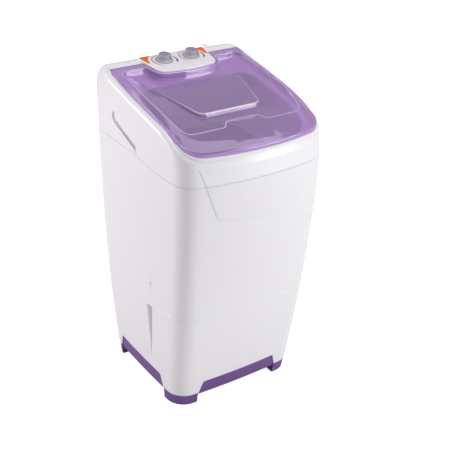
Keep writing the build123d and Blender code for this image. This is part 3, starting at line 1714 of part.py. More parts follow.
def dish_cut(grow, drop):
    """Everything that is taken away above the dish and the raised field in it."""
    with BuildPart() as cut:
        add(dish_space(drop))
        add(prism_up(dish_outline(grow), seam_height, seam_height + far), mode=Mode.INTERSECT)
        add(plateau_block(grow, drop), mode=Mode.SUBTRACT)
    return cut.part


def knuckle_spots():
    """Middle of each hinge knuckle along X."""
    return (-hinge_x, hinge_x)


def hinge_bar(left, right, radius):
    """Round bar along the hinge line."""
    with BuildPart() as bar:
        with BuildSketch(Plane.YZ.offset(left)):
            with Locations((hinge_y, hinge_z)):
                Circle(radius)
        extrude(amount=right - left)
    return bar.part


def rear_relief(x):
    """Gap in the lid's rear wall, so that it passes the bracket's ears as the lid opens."""
    half = knuckle_length / 2 + ear_gap + ear_thickness + hinge_relief
    with BuildPart() as gap:
        add(block_between(x - half, x + half, hinge_y + ear_rear, rear_mid_seam, seam_height,
                          seam_height + far))
        add(under_lid(lid_wall), mode=Mode.INTERSECT)
    return gap.part


# Lid: a clear shell with a sunken dish, a raised field and a grip tab at its front.
with BuildPart() as lid_block:
    add(prism_up(lid_plan(0), seam_height, seam_height + far))
    add(under_lid(0), mode=Mode.INTERSECT)
    add(dish_cut(0, 0), mode=Mode.SUBTRACT)
with BuildPart() as lid_hollow:
    add(prism_up(lid_plan(lid_wall), seam_height, seam_height + far))
    add(under_lid(lid_wall), mode=Mode.INTERSECT)
with BuildPart() as lid_dish:
    add(lid_block.part)
    add(dish_cut(lid_wall, dish_wall_drop), mode=Mode.INTERSECT)
with BuildPart() as lid:
    add(lid_block.part)
    add(above_rim(seat_depth - lid_lift), mode=Mode.INTERSECT)
    add(lid_hollow.part, mode=Mode.SUBTRACT)
    add(lid_dish.part)
    for x in knuckle_spots():
        half = knuckle_length / 2
        add(rear_relief(x), mode=Mode.SUBTRACT)
        add(hinge_bar(x - half, x + half, knuckle_radius))
        add(block_between(x - half, x + half, hinge_y - knuckle_radius, hinge_y + ear_rear,
                          hinge_z, hinge_z + knuckle_radius + 1))
        add(hinge_bar(x - half - 1, x + half + 1, hinge_pin_radius + running_gap),
            mode=Mode.SUBTRACT)
lid.part.label = "lid"
export_step(lid.part, "parts/lid.step")

# Hinge pins: two steel pins held in the lid's knuckles.
pin_half = knuckle_length / 2 + ear_gap + ear_thickness
with BuildPart() as lid_hinge_pins:
    for x in knuckle_spots():
        add(hinge_bar(x - pin_half, x + pin_half, hinge_pin_radius))
lid_hinge_pins.part.label = "lid_hinge_pins"
export_step(lid_hinge_pins.part, "parts/lid_hinge_pins.step")

# Hinge brackets: two ears on a plate in the trough behind the lid.
trough_front = rear_mid_seam - lid_back_gap - hinge_trough_front
trough_rear = rear_mid_seam - lid_back_gap + lid_hinge_gap


def hinge_bracket(x):
    """Bracket with an ear on each side of a knuckle."""
    near = knuckle_length / 2 + ear_gap
    bottom = seam_height + rim_back_rise - deck_depth - 8
    with BuildPart() as bracket:
        for left, right in ((x - near - ear_thickness, x - near), (x + near, x + near + ear_thickness)):
            add(hinge_bar(left, right, ear_radius))
            add(block_between(left, right, hinge_y - ear_radius, hinge_y + ear_rear, bottom,
                              hinge_z))
        add(block_between(x - near - ear_thickness, x + near + ear_thickness,
                          trough_front + 1, trough_rear - 1, bottom,
                          hinge_z - hinge_plate_drop))
        add(above_rim(deck_depth), mode=Mode.INTERSECT)
        add(hinge_bar(x - far, x + far, hinge_pin_radius + running_gap), mode=Mode.SUBTRACT)
    return bracket.part


with BuildPart() as hinge_bracket_left:
    add(hinge_bracket(-hinge_x))
hinge_bracket_left.part.label = "hinge_bracket_left"
export_step(hinge_bracket_left.part, "parts/hinge_bracket_left.step")
with BuildPart() as hinge_bracket_right:
    add(hinge_bracket(hinge_x))
hinge_bracket_right.part.label = "hinge_bracket_right"
export_step(hinge_bracket_right.part, "parts/hinge_bracket_right.step")

# Lid bumpers: four rubber blocks let into the seat, on which the lid rests.
lid_half = seam_half_width + side_bow_seam - lid_side_gap
bumper_front_y = (-front_mid_seam + lid_front_gap
                  + lid_front_bow * (bumper_front_x / lid_half) ** 2)
with BuildPart() as bumper_blocks:
    for side in (-1, 1):
        x = side * bumper_front_x
        y = bumper_front_y
        add(block_between(x - bumper_length / 2, x + bumper_length / 2, y, y + bumper_width,
                          seam_height, seam_height + far))
        x = side * (lid_half - (bumper_width + lid_wall) / 2)
        y = bumper_side_y
        add(block_between(x - bumper_width / 2, x + bumper_width / 2, y - bumper_length / 2,
                          y + bumper_length / 2, seam_height, seam_height + far))
    add(above_rim(seat_depth + bumper_pocket), mode=Mode.INTERSECT)
with BuildPart() as lid_bumpers:
    add(bumper_blocks.part)
    add(under_rim(seat_depth - lid_lift, seam_height - 60), mode=Mode.INTERSECT)
lid_bumpers.part.label = "lid_bumpers"
export_step(lid_bumpers.part, "parts/lid_bumpers.step")


def grip_recess(extra):
    """Wedge cut into the left side over the grip's lip, deepest at the lip, with a deeper
    notch at its rear end. Extra widens it, for the wall behind it."""
    slope = math.radians(grip_slope)
    along = Plane(
        origin=(-side_half(seam_height), grip_front_y - extra * math.cos(slope),
                grip_front_z - extra * math.sin(slope)),
        x_dir=(1, 0, 0), z_dir=(0, -math.cos(slope), -math.sin(slope)))
    with BuildPart() as cut:
        with BuildSketch(along):
            with BuildLine():
                Polyline(
                    (-20, -extra), (grip_depth + extra, -extra), (grip_depth + extra, 2),
                    (extra, grip_height + extra), (-20, grip_height + extra), close=True)
            make_face()
        extrude(amount=-grip_length - 2 * extra)
        add(block_between(
            -far, -side_half(seam_height) + grip_end_depth + extra, grip_end_y - extra,
            grip_end_y + grip_end_width + extra, grip_end_z - extra,
            grip_end_z + grip_end_height + extra))
    return cut.part


def grip_bar():
    """Thickened lip along the lower edge of the left grip."""
    slope = math.radians(grip_slope)
    along = Plane(
        origin=(-side_half(seam_height) - 2, grip_front_y, grip_front_z),
        x_dir=(1, 0, 0), z_dir=(0, -math.cos(slope), -math.sin(slope)))
    with BuildPart() as bar:
        with BuildSketch(along):
            with Locations((3, -grip_lip / 2)):
                Rectangle(8, grip_lip)
        extrude(amount=-grip_length)
        add(body_block(-1.5), mode=Mode.INTERSECT)
    return bar.part


# Top cover: seat and deck under the lid, tub mouth, side grips and the control pod.
with BuildPart() as lid_seat:
    add(prism_up(lid_seat_outline(lid_recess_gap), seam_height, seam_height + far))
    add(above_rim(seat_depth), mode=Mode.INTERSECT)
with BuildPart() as deck_space:
    add(prism_up(deck_outline(0), seam_height, seam_height + far))
    add(above_rim(deck_depth), mode=Mode.INTERSECT)
with BuildPart() as seat_wall:
    add(prism_up(lid_seat_outline(lid_recess_gap + cover_wall), seam_height, seam_height + far))
    add(above_rim(seat_depth + cover_wall), mode=Mode.INTERSECT)
with BuildPart() as deck_skin:
    add(prism_up(deck_outline(deck_wall), seam_height, seam_height + far))
    add(above_rim(deck_depth + deck_wall), mode=Mode.INTERSECT)
with BuildPart() as cover_void:
    add(rounded_cover(cover_wall))
    add([seat_wall.part, deck_skin.part, *both_sides(grip_recess(cover_wall))],
        mode=Mode.SUBTRACT)
with BuildPart() as raised_shield:
    add(rounded_cover(-shield_rise))
    add(shield_space, mode=Mode.INTERSECT)
with BuildPart() as mouth_skin:
    add(funnel_block(0))
    add(under_rim(deck_depth, seam_height - 60), mode=Mode.INTERSECT)
with BuildPart() as cover_lip:
    add(body_ring(cover_wall + lip_clearance, cover_wall + lip_clearance + lip_wall,
                  seam_height - 10, seam_height + seam_side_rise + 10))
    add(seam_space(-6, seam_height - 60), mode=Mode.INTERSECT)
with BuildPart() as lip_step:
    add(body_ring(cover_wall - 0.5, cover_wall + lip_clearance + lip_wall / 2, seam_height - 10,
                  seam_height + seam_side_rise + 10))
    add(seam_space(-6, seam_height - 60), mode=Mode.INTERSECT)
with BuildPart() as pod_block:
    add(pod_space(pod_outline(0), 0, box_bottom))
    fillet(pod_block.faces().sort_by(Axis.Z)[-1].edges(), pod_edge_fillet)
below_seam = seam_space(0, seam_height - 80)
hook_block = block_between(hook_x - hook_half, hook_x + hook_half, rear_mid_seam - 66,
                           rear_mid_seam - 40, seam_height, seam_height + far)
with BuildPart() as top_cover:
    add(rounded_cover(0))
    add(raised_shield.part)
    add([lid_seat.part, deck_space.part], mode=Mode.SUBTRACT)
    add(cover_void.part, mode=Mode.SUBTRACT)
    add([pod_block.part, mouth_skin.part, lip_step.part])
    add([
        below_seam,
        funnel_block(mouth_wall),
        pod_space(pod_outline(-pod_wall), panel_thickness / 2, box_bottom - 20),
        panel_shape,
        *both_sides(grip_recess(0)),
        bumper_blocks.part,
    ], mode=Mode.SUBTRACT)
    add([cover_lip.part, *both_sides(grip_bar())])
    add(wire_loom.part, mode=Mode.SUBTRACT)
top_cover.part.label = "top_cover"
export_step(top_cover.part, "parts/top_cover.step")

# Hose hook: clips on the rear crest of the top cover, for the end of the drain hose.
with BuildPart() as hose_hook:
    add(hook_block)
    add(under_rim(-hook_rise, seam_height), mode=Mode.INTERSECT)
    add(top_cover.part, mode=Mode.SUBTRACT)
    add(above_rim(1), mode=Mode.INTERSECT)
hose_hook.part.label = "hose_hook"
export_step(hose_hook.part, "parts/hose_hook.step")

# Cabinet: the outer shell with its legs.
with BuildPart() as cabinet:
    add(outer_body)
    add(shield_pad.part)
    add(seam_space(0, leg_height), mode=Mode.INTERSECT)
    add(cabinet_hollow.part, mode=Mode.SUBTRACT)
    add([cover_rim.part, base_shelf, tub_shelf])
    add([
        front_prism(front_notch_outline(), -far, far),
        side_prism(side_notch_outline(), -far, far),
        *both_sides(side_recess(0)),
        side_grooves.part,
        crease_ring.part,
        cover_seat.part,
        rear_prism(-cover_ledge),
        rear_holes(cover_screw_spots, screw_radius),
        upright_holes(tub_screw_spots, screw_radius, tub_shelf_bottom, flange_height),
        upright_holes(base_screw_spots, screw_radius, base_shelf_bottom,
                      base_shelf_bottom + shelf_thickness),
        upright_holes([(loom_x, loom_y)], loom_radius + 1, tub_shelf_bottom, flange_height),
    ], mode=Mode.SUBTRACT)
cabinet.part.label = "cabinet"
export_step(cabinet.part, "parts/cabinet.step")


# Rear cover: closes the service opening, with louvre slots for the motor's air.
with BuildPart() as rear_cover:
    add(rear_prism(0))
    add(outer_body, mode=Mode.INTERSECT)
    add(body_block(cover_thickness), mode=Mode.SUBTRACT)
    add(rear_holes(cover_screw_spots, screw_radius), mode=Mode.SUBTRACT)
    add(rear_holes([(drain_x, drain_outlet_height)], outlet_hole_radius), mode=Mode.SUBTRACT)
    add(rear_holes([(gland_x, drain_outlet_height)], gland_radius), mode=Mode.SUBTRACT)
    with BuildSketch(Plane.XZ.offset(-far)):
        with Locations((0, vent_middle)):
            with GridLocations(1.4 * vent_length, vent_pitch, 2, vent_count):
                SlotOverall(vent_length, vent_height)
    extrude(amount=far - 200, mode=Mode.SUBTRACT)
rear_cover.part.label = "rear_cover"
export_step(rear_cover.part, "parts/rear_cover.step")

# Rear cover screws: six, into the rim of the service opening.
with BuildPart() as rear_cover_screws:
    add(rear_screws(
        [(x, height, rear_wall(x, height) + screw_head_gap) for x, height in cover_screw_spots],
        cover_thickness + body_wall + screw_head_gap, screw_head_height))
rear_cover_screws.part.label = "rear_cover_screws"
export_step(rear_cover_screws.part, "parts/rear_cover_screws.step")
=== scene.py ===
# Semi-automatic washing machine: its moulded shells, lid, knobs and finishes.
# Outlines and profiles are in millimetres, with the origin on the floor and the front
# facing -Y. Meshes, the camera and the lights are in metres.
import json
import math

import bpy
import numpy as np
from bpy.props import FloatProperty, FloatVectorProperty, IntProperty, PointerProperty
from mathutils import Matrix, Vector


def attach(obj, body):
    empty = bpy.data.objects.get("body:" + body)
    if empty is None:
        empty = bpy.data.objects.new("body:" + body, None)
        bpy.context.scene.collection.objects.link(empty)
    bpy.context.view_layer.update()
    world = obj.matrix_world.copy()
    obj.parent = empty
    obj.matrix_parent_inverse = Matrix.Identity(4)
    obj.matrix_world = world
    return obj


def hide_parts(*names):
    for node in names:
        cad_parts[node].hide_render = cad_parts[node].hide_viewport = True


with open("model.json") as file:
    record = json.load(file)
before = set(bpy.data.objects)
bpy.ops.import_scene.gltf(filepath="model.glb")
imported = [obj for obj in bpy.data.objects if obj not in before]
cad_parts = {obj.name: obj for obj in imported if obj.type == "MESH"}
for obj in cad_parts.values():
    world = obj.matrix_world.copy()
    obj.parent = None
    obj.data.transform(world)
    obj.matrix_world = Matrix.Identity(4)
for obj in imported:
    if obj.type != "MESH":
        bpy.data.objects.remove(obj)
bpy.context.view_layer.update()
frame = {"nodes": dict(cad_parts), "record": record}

bl_info = {
    "name": "Washing machine",
    "version": (1, 0, 0),
    "blender": (4, 5, 0),
    "location": "3D View > Sidebar > Washer",
    "description": "Shells, lid, knobs and finishes of a semi-automatic washing machine",
    "category": "Object",
}

MM = 0.001
FAR = 500.0

# Body outline, from the floor to the seam under the top cover and above it. Only what
# lies beyond FRONT_WALL_FROM and SIDE_WALL_FROM counts as its front and its side.
SEAM = 772.0
SEAM_SIDE_RISE = 19.0
SEAM_CLIMB = (-160.0, 60.0)
BASE_HALF = 214.0
SEAM_HALF = 235.0
BASE_FRONT = 174.0
SEAM_FRONT = 279.0
BASE_REAR = 242.0
SEAM_REAR = 280.0
BODY_BOWS = ((8.0, 33.0), (5.0, 8.0), (6.0, 6.0))
TAPER_POWERS = (2.0, 1.4, 3.3)
FRONT_LEAN = 0.09
CORNER = 62.0
LEVEL_STEP = 5.0
LEVEL_TOP = 1010.0
FRONT_WALL_FROM = -100.0
SIDE_WALL_FROM = 150.0
BODY_COUNTS = (30, 18, 46, 16, 30)
SHARP = math.radians(35)
FINE_STEPS = 4000

# Cabinet: legs with the openings between them, crease, side recesses and grooves,
# service opening and inner ledges. Its mesh has rows up to the crease, across it, up to
# the level where the walls turn to the seam, and up to the seam.
LEG_FOOT = 41.0
NOTCH_TOP = 84.0
NOTCH_SLANT = 13.0
NOTCH_RADIUS = 8.0
FRONT_NOTCH = (-143.0, 143.0)
SIDE_NOTCH = (-94.0, 178.0)
CREASE = 339.2
CREASE_HALF = 1.2
CREASE_FRONT = 59.0
CREASE_SIDE = -120.0
CREASE_FADE = 8.0
CREASE_CLEAR = (4.0, 5.0)
CREASE_ROWS = (-2.2, -1.4, -1.0, -0.4, 0.4, 1.0, 1.4, 2.2)
STRAIGHT_TOP = 700.0
CABINET_ROWS = (56, 62, 14)
RECESS = ((-63.0, 318.0), (-32.0, 318.0), (-37.0, 119.0))
RECESS_DEPTHS = (12.0, 12.0, 0.4)
GROOVE = (-61.3, -58.7, 363.0, 430.0)
GROOVE_RADIUS = 1.17
GROOVE_DEPTH = 1.2
BLOCK_GROWTH = 4.0
BLOCK_REACH = 60.0
SERVICE_OPENING = (-165.5, 165.5, 129.5, 640.5)
SERVICE_RADIUS = 20.5
SERVICE_DEPTH = 150.0
LEDGES = ((112.0, 118.0, 25.0), (750.0, 756.0, 24.0))
LEDGE_OVERLAP = 0.2

# Raised shield on the front: half width and height at its foot corners and at the rim.
SHIELD_FOOT = 645.0
SHIELD_CORNER = (140.0, 666.0)
SHIELD_TOP = (208.0, 862.0)
SHIELD_RADIUS = 22.0
SHIELD_STRETCH = 1.3
SHIELD_FADE = 14.0
SHIELD_SINK = 0.3

# Side profile of the top cover and of the lid, from front to back, and the rounding and
# steps of the cover. Its mesh has rows up the side, over the rim's edge, to the lid
# opening, across the deck, over the mouth's edge and down the mouth.
RIM_POINTS = (
    (-300, 844), (-262, 846), (-230, 858), (-196, 876), (-150, 898), (-85, 917), (45, 946),
    (177, 978), (213, 985), (250, 971), (300, 930))
LID_POINTS = (
    (-300, 850), (-272, 866), (-235, 880), (-190, 894), (-150, 909), (-110, 925), (-50, 942),
    (30, 959), (95, 971), (140, 978), (178, 982), (280, 985))
RIM_ROUNDING = (14.0, 34.0)
RIM_SHOULDER = (14.0, 58.0)
RIM_ROUNDING_REACH = (150.0, 262.0)
SEAT_DROP = 3.0
SEAT_WIDTH = 8.0
SEAT_REAR = 0.5
DECK_DROP = 18.0
MOUTH_ROUNDING = 5.0
SETTLING = 3
COVER_ROWS = (34, 12, 20, 16, 6, 12)

# Lid opening, tub mouth and their corners.
OPENING_GAP = 1.0
OPENING_REAR = 183.0
LID_HALF = 220.0
LID_FRONT = -270.0
LID_REAR = 178.0
LID_BOWS = (26.0, 6.0, 0.0)
LID_CORNERS = (62.0, 6.0)
MOUTH_TOP = (198.0, -238.0, 56.0, 978.0)
MOUTH_FOOT = (191.0, -208.0, 196.0, 742.0)
MOUTH_CORNER = 60.0
MOUTH_LEVELS = 41

# Control pod and its sloping panel.
POD_SLOPE = math.radians(8.5)
POD_REAR = (112.0, 209.0)
POD_REAR_HEIGHT = 991.0
POD_FRONT = (98.0, 102.0)
POD_FRONT_BOW = 10.0
POD_CORNER = 28.0
POD_COUNTS = (24, 16, 24)
POD_REAR_ROWS = 14
POD_EDGE_ROWS = 5
POD_FOOT = 930.0
POD_EDGE = 1.5
PANEL_MARGIN = 2.0
PANEL_DEPTH = 2.0

# Lid: its skirt, ridge line, dish and raised field.
LID_DROP = 2.6
LID_WALL = 2.2
LID_EDGE = 4.0
LID_EDGE_REAR = 0.4
LID_CROWN = 9.0
LEAST_CROWN = 1.0
LID_STEP = 5.0
POD_GAP = 3.0
RIDGE_POD_GAP = 10.0
RIDGE_TAB = ((51.0, -169.0), (68.0, -190.0))
RIDGE_SIDE = ((186.0, -190.0), (203.0, -120.0), (208.0, -30.0), (207.0, 60.0), (203.0, 146.0))
RIDGE_RADII = (0, 8, 3, 28, 300, 600, 600, 24, 14, 0)
RIDGE_TURN = 8
RIDGE_REAR_STEP = 16.0
RIDGE_POD_STEP = (2.0, 8.0)
RIDGE_REACH = 224.0
TAB_DIMPLE = (-178.0, 46.0, 9.0, 2.2)
DISH_DROP = 8.0
DISH_STEP = 1.5
DISH_FOOT = ((-194.0, 100.0), (-117.0, 100.0), (62.0, 146.0), (150.0, 166.0))
FIELD = ((100.0, -117.0), (146.0, 62.0))
FIELD_RISE = 12.0
FIELD_CORNER = 26.0
FIELD_TURN = 10
FIELD_CENTRE = (0.0, -30.0)
FIELD_REACH = 0.97

# Columns of the lid's mesh: their number from stop to stop, and the stops on its edge,
# its ridge and its field.
LID_COUNTS = (22, 8, 26, 18, 64, 12, 22, 14, 16, 22)
LID_BLEND = 6
EDGE_STOPS = ((51, -268.7), (68, -267.6), (168, -258), (224, -195), (221, 166), (212, 178))
EDGE_POD_STOPS = ((105, 125), (72, 92))
RIDGE_STOPS = ((160, -190), (193, -162), (205, 118), (180, 146))
RIDGE_POD_STOPS = ((111, 112), (76, 86))
FIELD_STOPS = ((34, -117), (46, -117), (76, -117), (106, -96), (141, 40), (136, 57), (122, 62),
               (104, 62), (74, 62))

# Rows of the lid's mesh: over its edge, to the ridge, across the dish and the field. The
# rows in between have a depth inside the ridge and a lift, a depth and a share of the
# drop to the dish, or a depth inside the field, a share of its rise and the strength of its painted
# edge highlight.
LID_ROWS = (7, 22, 18, 10)
BORDER_EASE = 1.4
RIDGE_MARGIN = 1.4
DISH_MARGIN = 3.0
FIELD_MARGIN = 0.8
RIDGE_ROWS = ((-0.9, 0.6), (0.0, 0.9), (0.9, 0.5))
DISH_EDGE_ROWS = ((1.2, 0.04), (1.7, 0.5), (2.2, 0.95))
FIELD_ROWS = ((0.0, 0.1, 0), (0.7, 0.5, 0), (1.4, 0.85, 0.8), (2.2, 0.97, 1), (3.4, 1.0, 0.9),
              (4.4, 1.0, 0))
LID_SHARP = math.radians(50)

# Grips in the sides of the top cover: front end, length, slope, section and end notch.
GRIP_START = (-8.0, 803.0)
GRIP_LENGTH = 134.0
GRIP_SLOPE = math.radians(19.6)
GRIP_HEIGHT = 13.0
GRIP_DEPTH = 3.5
GRIP_FADE = 0.3
GRIP_LIP = 9.0
GRIP_ROOT = 6.0
GRIP_PROUD = 1.3
GRIP_NOTCH = (114.0, 129.0, 852.0, 877.0)
GRIP_NOTCH_DEPTH = 8.0

# Knobs: side position, turned profiles as radius and height, and ribs.
KNOBS = (("timer_knob", -46.0), ("selector_knob", 46.0))
KNOB_Y = 166.0
KNOB_PROFILE = (
    (3.1, 0.6), (26.4, 0.6), (27.0, 1.1), (27.0, 2.4), (26.5, 3.2), (25.0, 4.0), (21.5, 5.0),
    (19.6, 6.2), (18.9, 7.6), (18.8, 9.0), (18.7, 12.0), (18.6, 15.0), (18.5, 17.2),
    (18.0, 18.6), (17.0, 19.6), (16.0, 20.0), (15.2, 19.9), (15.1, 17.2), (3.1, 17.2))
KNOB_RIBS = 26
RIB_DEPTH = 0.9
RIB_SPAN = (6.0, 18.8)
RIB_FROM = 16.0
LEAST_RADIUS = 0.2
CAP_PROFILE = ((0.0, 17.1), (14.7, 17.1), (14.9, 20.0), (14.5, 20.6), (13.6, 20.95), (8.0, 20.9),
               (7.0, 20.5), (0.0, 20.4))
ROUND_COLUMNS = 208

# Dials: radius, start and end angle, and width at each end of every printed arc, its
# cross-section, and the section and slope of the pointer line on a knob.
DIAL_ARCS = ((37.0, 62.0, 190.0, 0.8, 2.2), (37.0, 190.0, 240.0, 2.2, 0.8),
             (39.0, -36.0, 28.0, 5.6, 1.6))
ARC_ROWS = 60
DIAL_SECTION = ((-1, -0.5), (-1, 0.25), (1, 0.25), (1, -0.5))
POINTER_ANGLE = math.radians(-48)
POINTER_SECTION = ((-1.6, -1.7), (-1.6, 1.7), (0.35, 1.7), (0.35, -1.7))
POINTER_PROFILE = ((20.6, 5.4), (18.7, 9.0), (18.5, 17.2), (17.4, 19.3))

# Photograph's camera: its place and target in metres, its lens and its shift.
CAMERA_PLACE = (-1.3001, -2.0006, 1.7240)
CAMERA_TARGET = (-0.0178, 0.0420, 0.4891)
CAMERA_LENS = 70.24
CAMERA_SENSOR = 36.0
CAMERA_SHIFT = 0.0667

# Floor, surroundings and lights. Each light has a place, target and size in metres, a
# power and a colour.
FLOOR_HALF = 12000.0
FLOOR_GLOW = 0.86
WORLD_COLOUR = (0.98, 0.96, 1.0, 1)
WORLD_LIGHT = 0.41
LIGHTS = (
    ("left_light", (-2.6, 2.1, 1.4), (0, 0, 0.55), (1.3, 2.6), 59, (1, 0.95, 1)),
    ("right_light", (2.2, -3.0, 1.5), (0, 0, 0.55), (1.5, 2.6), 68, (1, 1, 1)),
    ("top_light", (0.3, -0.3, 3.4), (0, 0, 0.9), (2.6, 2.0), 30, (1, 1, 1)))

# Shared parts of the materials: sockets of a colour mix, and depths of fine relief.
SURFACE_OUTPUTS = (("Colour", "NodeSocketColor"), ("Roughness", "NodeSocketFloat"),
                   ("Height", "NodeSocketFloat"))
MIX_COLOURS = (6, 7)
MIX_RESULT = 2
GRAIN_HEIGHT = 0.0004
LINE_RELIEF = (0.1, 0.0003)
# Name of the mesh attribute that marks the lid's ridge and field edge for a painted highlight and
# glow.
HIGHLIGHT_MARK = "moulded_line"


# Outlines and profiles

def smooth_step(share):
    """Eases from 0 to 1 as share goes from 0 to 1."""
    share = np.clip(share, 0.0, 1.0)
    return share * share * (3 - 2 * share)


def smooth_profile(points):
    """Cubic curve through (y, z) points, as a function of y."""
    y, z = np.array(points, float).T
    gaps = np.diff(y)
    slopes = np.diff(z) / gaps
    matrix = np.eye(len(y))
    change = np.zeros(len(y))
    for i in range(1, len(y) - 1):
        matrix[i, i - 1:i + 2] = gaps[i - 1], 2 * (gaps[i - 1] + gaps[i]), gaps[i]
        change[i] = 6 * (slopes[i] - slopes[i - 1])
    bend = np.linalg.solve(matrix, change)

    def height(at):
        at = np.clip(at, y[0], y[-1])
        i = np.clip(np.searchsorted(y, at) - 1, 0, len(y) - 2)
        a = (y[i + 1] - at) / gaps[i]
        b = 1 - a
        curve = (a ** 3 - a) * bend[i] + (b ** 3 - b) * bend[i + 1]
        return a * z[i] + b * z[i + 1] + curve * gaps[i] ** 2 / 6

    return height


rim_height = smooth_profile(RIM_POINTS)
lid_height = smooth_profile(LID_POINTS)
SHIELD_HEAD = rim_height(-SEAM_FRONT) - RIM_ROUNDING[0]


def rim_rounding(y, reach=RIM_ROUNDING):
    """How far the rim's rounded edge reaches inwards, or down where reach is the
    shoulder's. It grows towards the rear corners."""
    start, end = RIM_ROUNDING_REACH
    return reach[0] + (reach[1] - reach[0]) * smooth_step((y - start) / (end - start))


def seam_height(y):
    """Height of the seam between cabinet and top cover, which climbs along the sides."""
    return SEAM + SEAM_SIDE_RISE * smooth_step((y - SEAM_CLIMB[0]) / (SEAM_CLIMB[1] - SEAM_CLIMB[0]))


def arc_centre(start, end, bow):
    """Centre and radius of an arc between two places that bulges outwards by bow."""
    start, end = np.array(start, float), np.array(end, float)
    bow = max(bow, 0.01)
    along = end - start
    length = np.linalg.norm(along)
    outward = np.array((along[1], -along[0])) / length
    radius = ((length / 2) ** 2 + bow ** 2) / (2 * bow)
    return (start + end) / 2 - outward * (radius - bow), radius


def round_corner(first, second, radius, corner):
    """Rounding between two arcs: its centre, and where it meets each."""
    (a, a_radius), (b, b_radius) = first, second
    gap = b - a
    distance = np.linalg.norm(gap)
    ra, rb = a_radius - radius, b_radius - radius
    near = (ra ** 2 - rb ** 2 + distance ** 2) / (2 * distance)
    side = math.sqrt(max(ra ** 2 - near ** 2, 0))
    unit = gap / distance
    across = np.array((-unit[1], unit[0]))
    spots = [a + unit * near + across * side * sign for sign in (-1, 1)]
    centre = min(spots, key=lambda spot: np.linalg.norm(spot - corner))
    return centre, a + (centre - a) * a_radius / ra, b + (centre - b) * b_radius / rb


def arc_points(centre, start, end, count):
    """Points on an arc from start towards end, without the end."""
    start, end = np.array(start, float), np.array(end, float)
    first = math.atan2(*(start - centre)[::-1])
    turn = math.atan2(*(end - centre)[::-1]) - first
    turn = (turn + math.pi) % (2 * math.pi) - math.pi
    angles = first + turn * np.arange(count) / count
    radius = np.linalg.norm(start - centre)
    return centre + radius * np.stack((np.cos(angles), np.sin(angles)), 1)


def mirrored(half):
    """Closed outline from its right half, which starts and ends on the middle line."""
    return np.concatenate((half, half[-2:0:-1] * (-1, 1)))


def bowed_outline(halves, front, rear, bows, corners, counts):
    """Closed plan outline with bowed sides and round corners, anticlockwise from the
    front middle. counts are the points on half the front, a front corner, a side, a
    rear corner and half the rear."""
    front_left, front_right = [np.array((s * halves[0], front + bows[0])) for s in (-1, 1)]
    rear_left, rear_right = [np.array((s * halves[1], rear - bows[2])) for s in (-1, 1)]
    front_arc = arc_centre(front_left, front_right, bows[0])
    side_arc = arc_centre(front_right, rear_right, bows[1])
    rear_arc = arc_centre(rear_right, rear_left, bows[2])
    first, a, b = round_corner(front_arc, side_arc, corners[0], front_right)
    second, c, d = round_corner(side_arc, rear_arc, corners[1], rear_right)
    return mirrored(np.concatenate((
        arc_points(front_arc[0], (0, front), a, counts[0]),
        arc_points(first, a, b, counts[1]),
        arc_points(side_arc[0], b, c, counts[2]),
        arc_points(second, c, d, counts[3]),
        arc_points(rear_arc[0], d, (0, rear), counts[4]),
        [(0, rear)])))


def outward(outline):
    """Direction away from a closed outline at each of its points."""
    along = np.roll(outline, -1, 0) - np.roll(outline, 1, 0)
    away = np.stack((along[:, 1], -along[:, 0]), 1)
    return away / np.linalg.norm(away, axis=1)[:, None]


def inset(outline, distance):
    """Closed outline moved inwards. Distance may differ from point to point."""
    return outline - outward(outline) * np.reshape(distance, (-1, 1))


def rounding_rows(rows):
    """Rows over a rounded edge: how far each reaches in and stays down, as shares of the
    edge's radius."""
    angles = np.linspace(0, math.pi / 2, rows)[1:]
    return zip(1 - np.cos(angles), 1 - np.sin(angles))


def at_height(plan, height):
    """Loop of points from a plan and the height of each of its points."""
    return np.column_stack((plan, height))


def between(start, end, share):
    """Value or points at a share of the way from start to end."""
    return start + (end - start) * share


def rectangle(left, right, foot, head):
    """Corners of an upright rectangle, anticlockwise."""
    return [(left, foot), (right, foot), (right, head), (left, head)]


def rounded(points, radii, steps=6, closed=True):
    """Outline through straight lines, with each corner rounded by its radius."""
    spots = [np.array(point, float) for point in points]
    outline = []
    for i, (spot, radius) in enumerate(zip(spots, radii)):
        if not radius or (not closed and i in (0, len(spots) - 1)):
            outline.append(spot)
            continue
        back, ahead = [side / np.linalg.norm(side) for side in (
            spots[i - 1] - spot, spots[(i + 1) % len(spots)] - spot)]
        half = math.acos(np.clip(back @ ahead, -1, 1)) / 2
        middle = (back + ahead) / np.linalg.norm(back + ahead)
        reach = radius / math.tan(half)
        start, end = spot + back * reach, spot + ahead * reach
        outline.extend(arc_points(spot + middle * radius / math.sin(half), start, end, steps))
        outline.append(end)
    return np.array(outline)


def spaced(way, stops, counts):
    """Points along a way, with a set number from each stop to the next."""
    way = np.array(way, float)
    run = np.concatenate(([0], np.cumsum(np.linalg.norm(np.diff(way, axis=0), axis=1))))

    def along(at):
        return np.stack([np.interp(at, run, way[:, k]) for k in (0, 1)], 1)

    fine_run = np.linspace(0, run[-1], FINE_STEPS)
    fine = along(fine_run)
    marks = [fine_run[np.argmin(np.linalg.norm(fine - stop, axis=1))] for stop in stops]
    return along(np.concatenate([
        np.linspace(a, b, n, endpoint=False) for a, b, n in zip(marks, marks[1:], counts)]
        + [[marks[-1]]]))


def body_outline(height):
    """Plan outline of the body at one height."""
    share = min(height / SEAM, 1.0)
    grown = [1 - (1 - share) ** power for power in TAPER_POWERS]
    half = BASE_HALF + (SEAM_HALF - BASE_HALF) * grown[0]
    front = BASE_FRONT + (SEAM_FRONT - BASE_FRONT) * grown[1]
    front -= FRONT_LEAN * max(height - SEAM, 0)
    rear = BASE_REAR + (SEAM_REAR - BASE_REAR) * grown[2]
    bows = [low + (high - low) * share for low, high in BODY_BOWS]
    return bowed_outline((half, half), -front, rear, bows, (CORNER, CORNER), BODY_COUNTS)


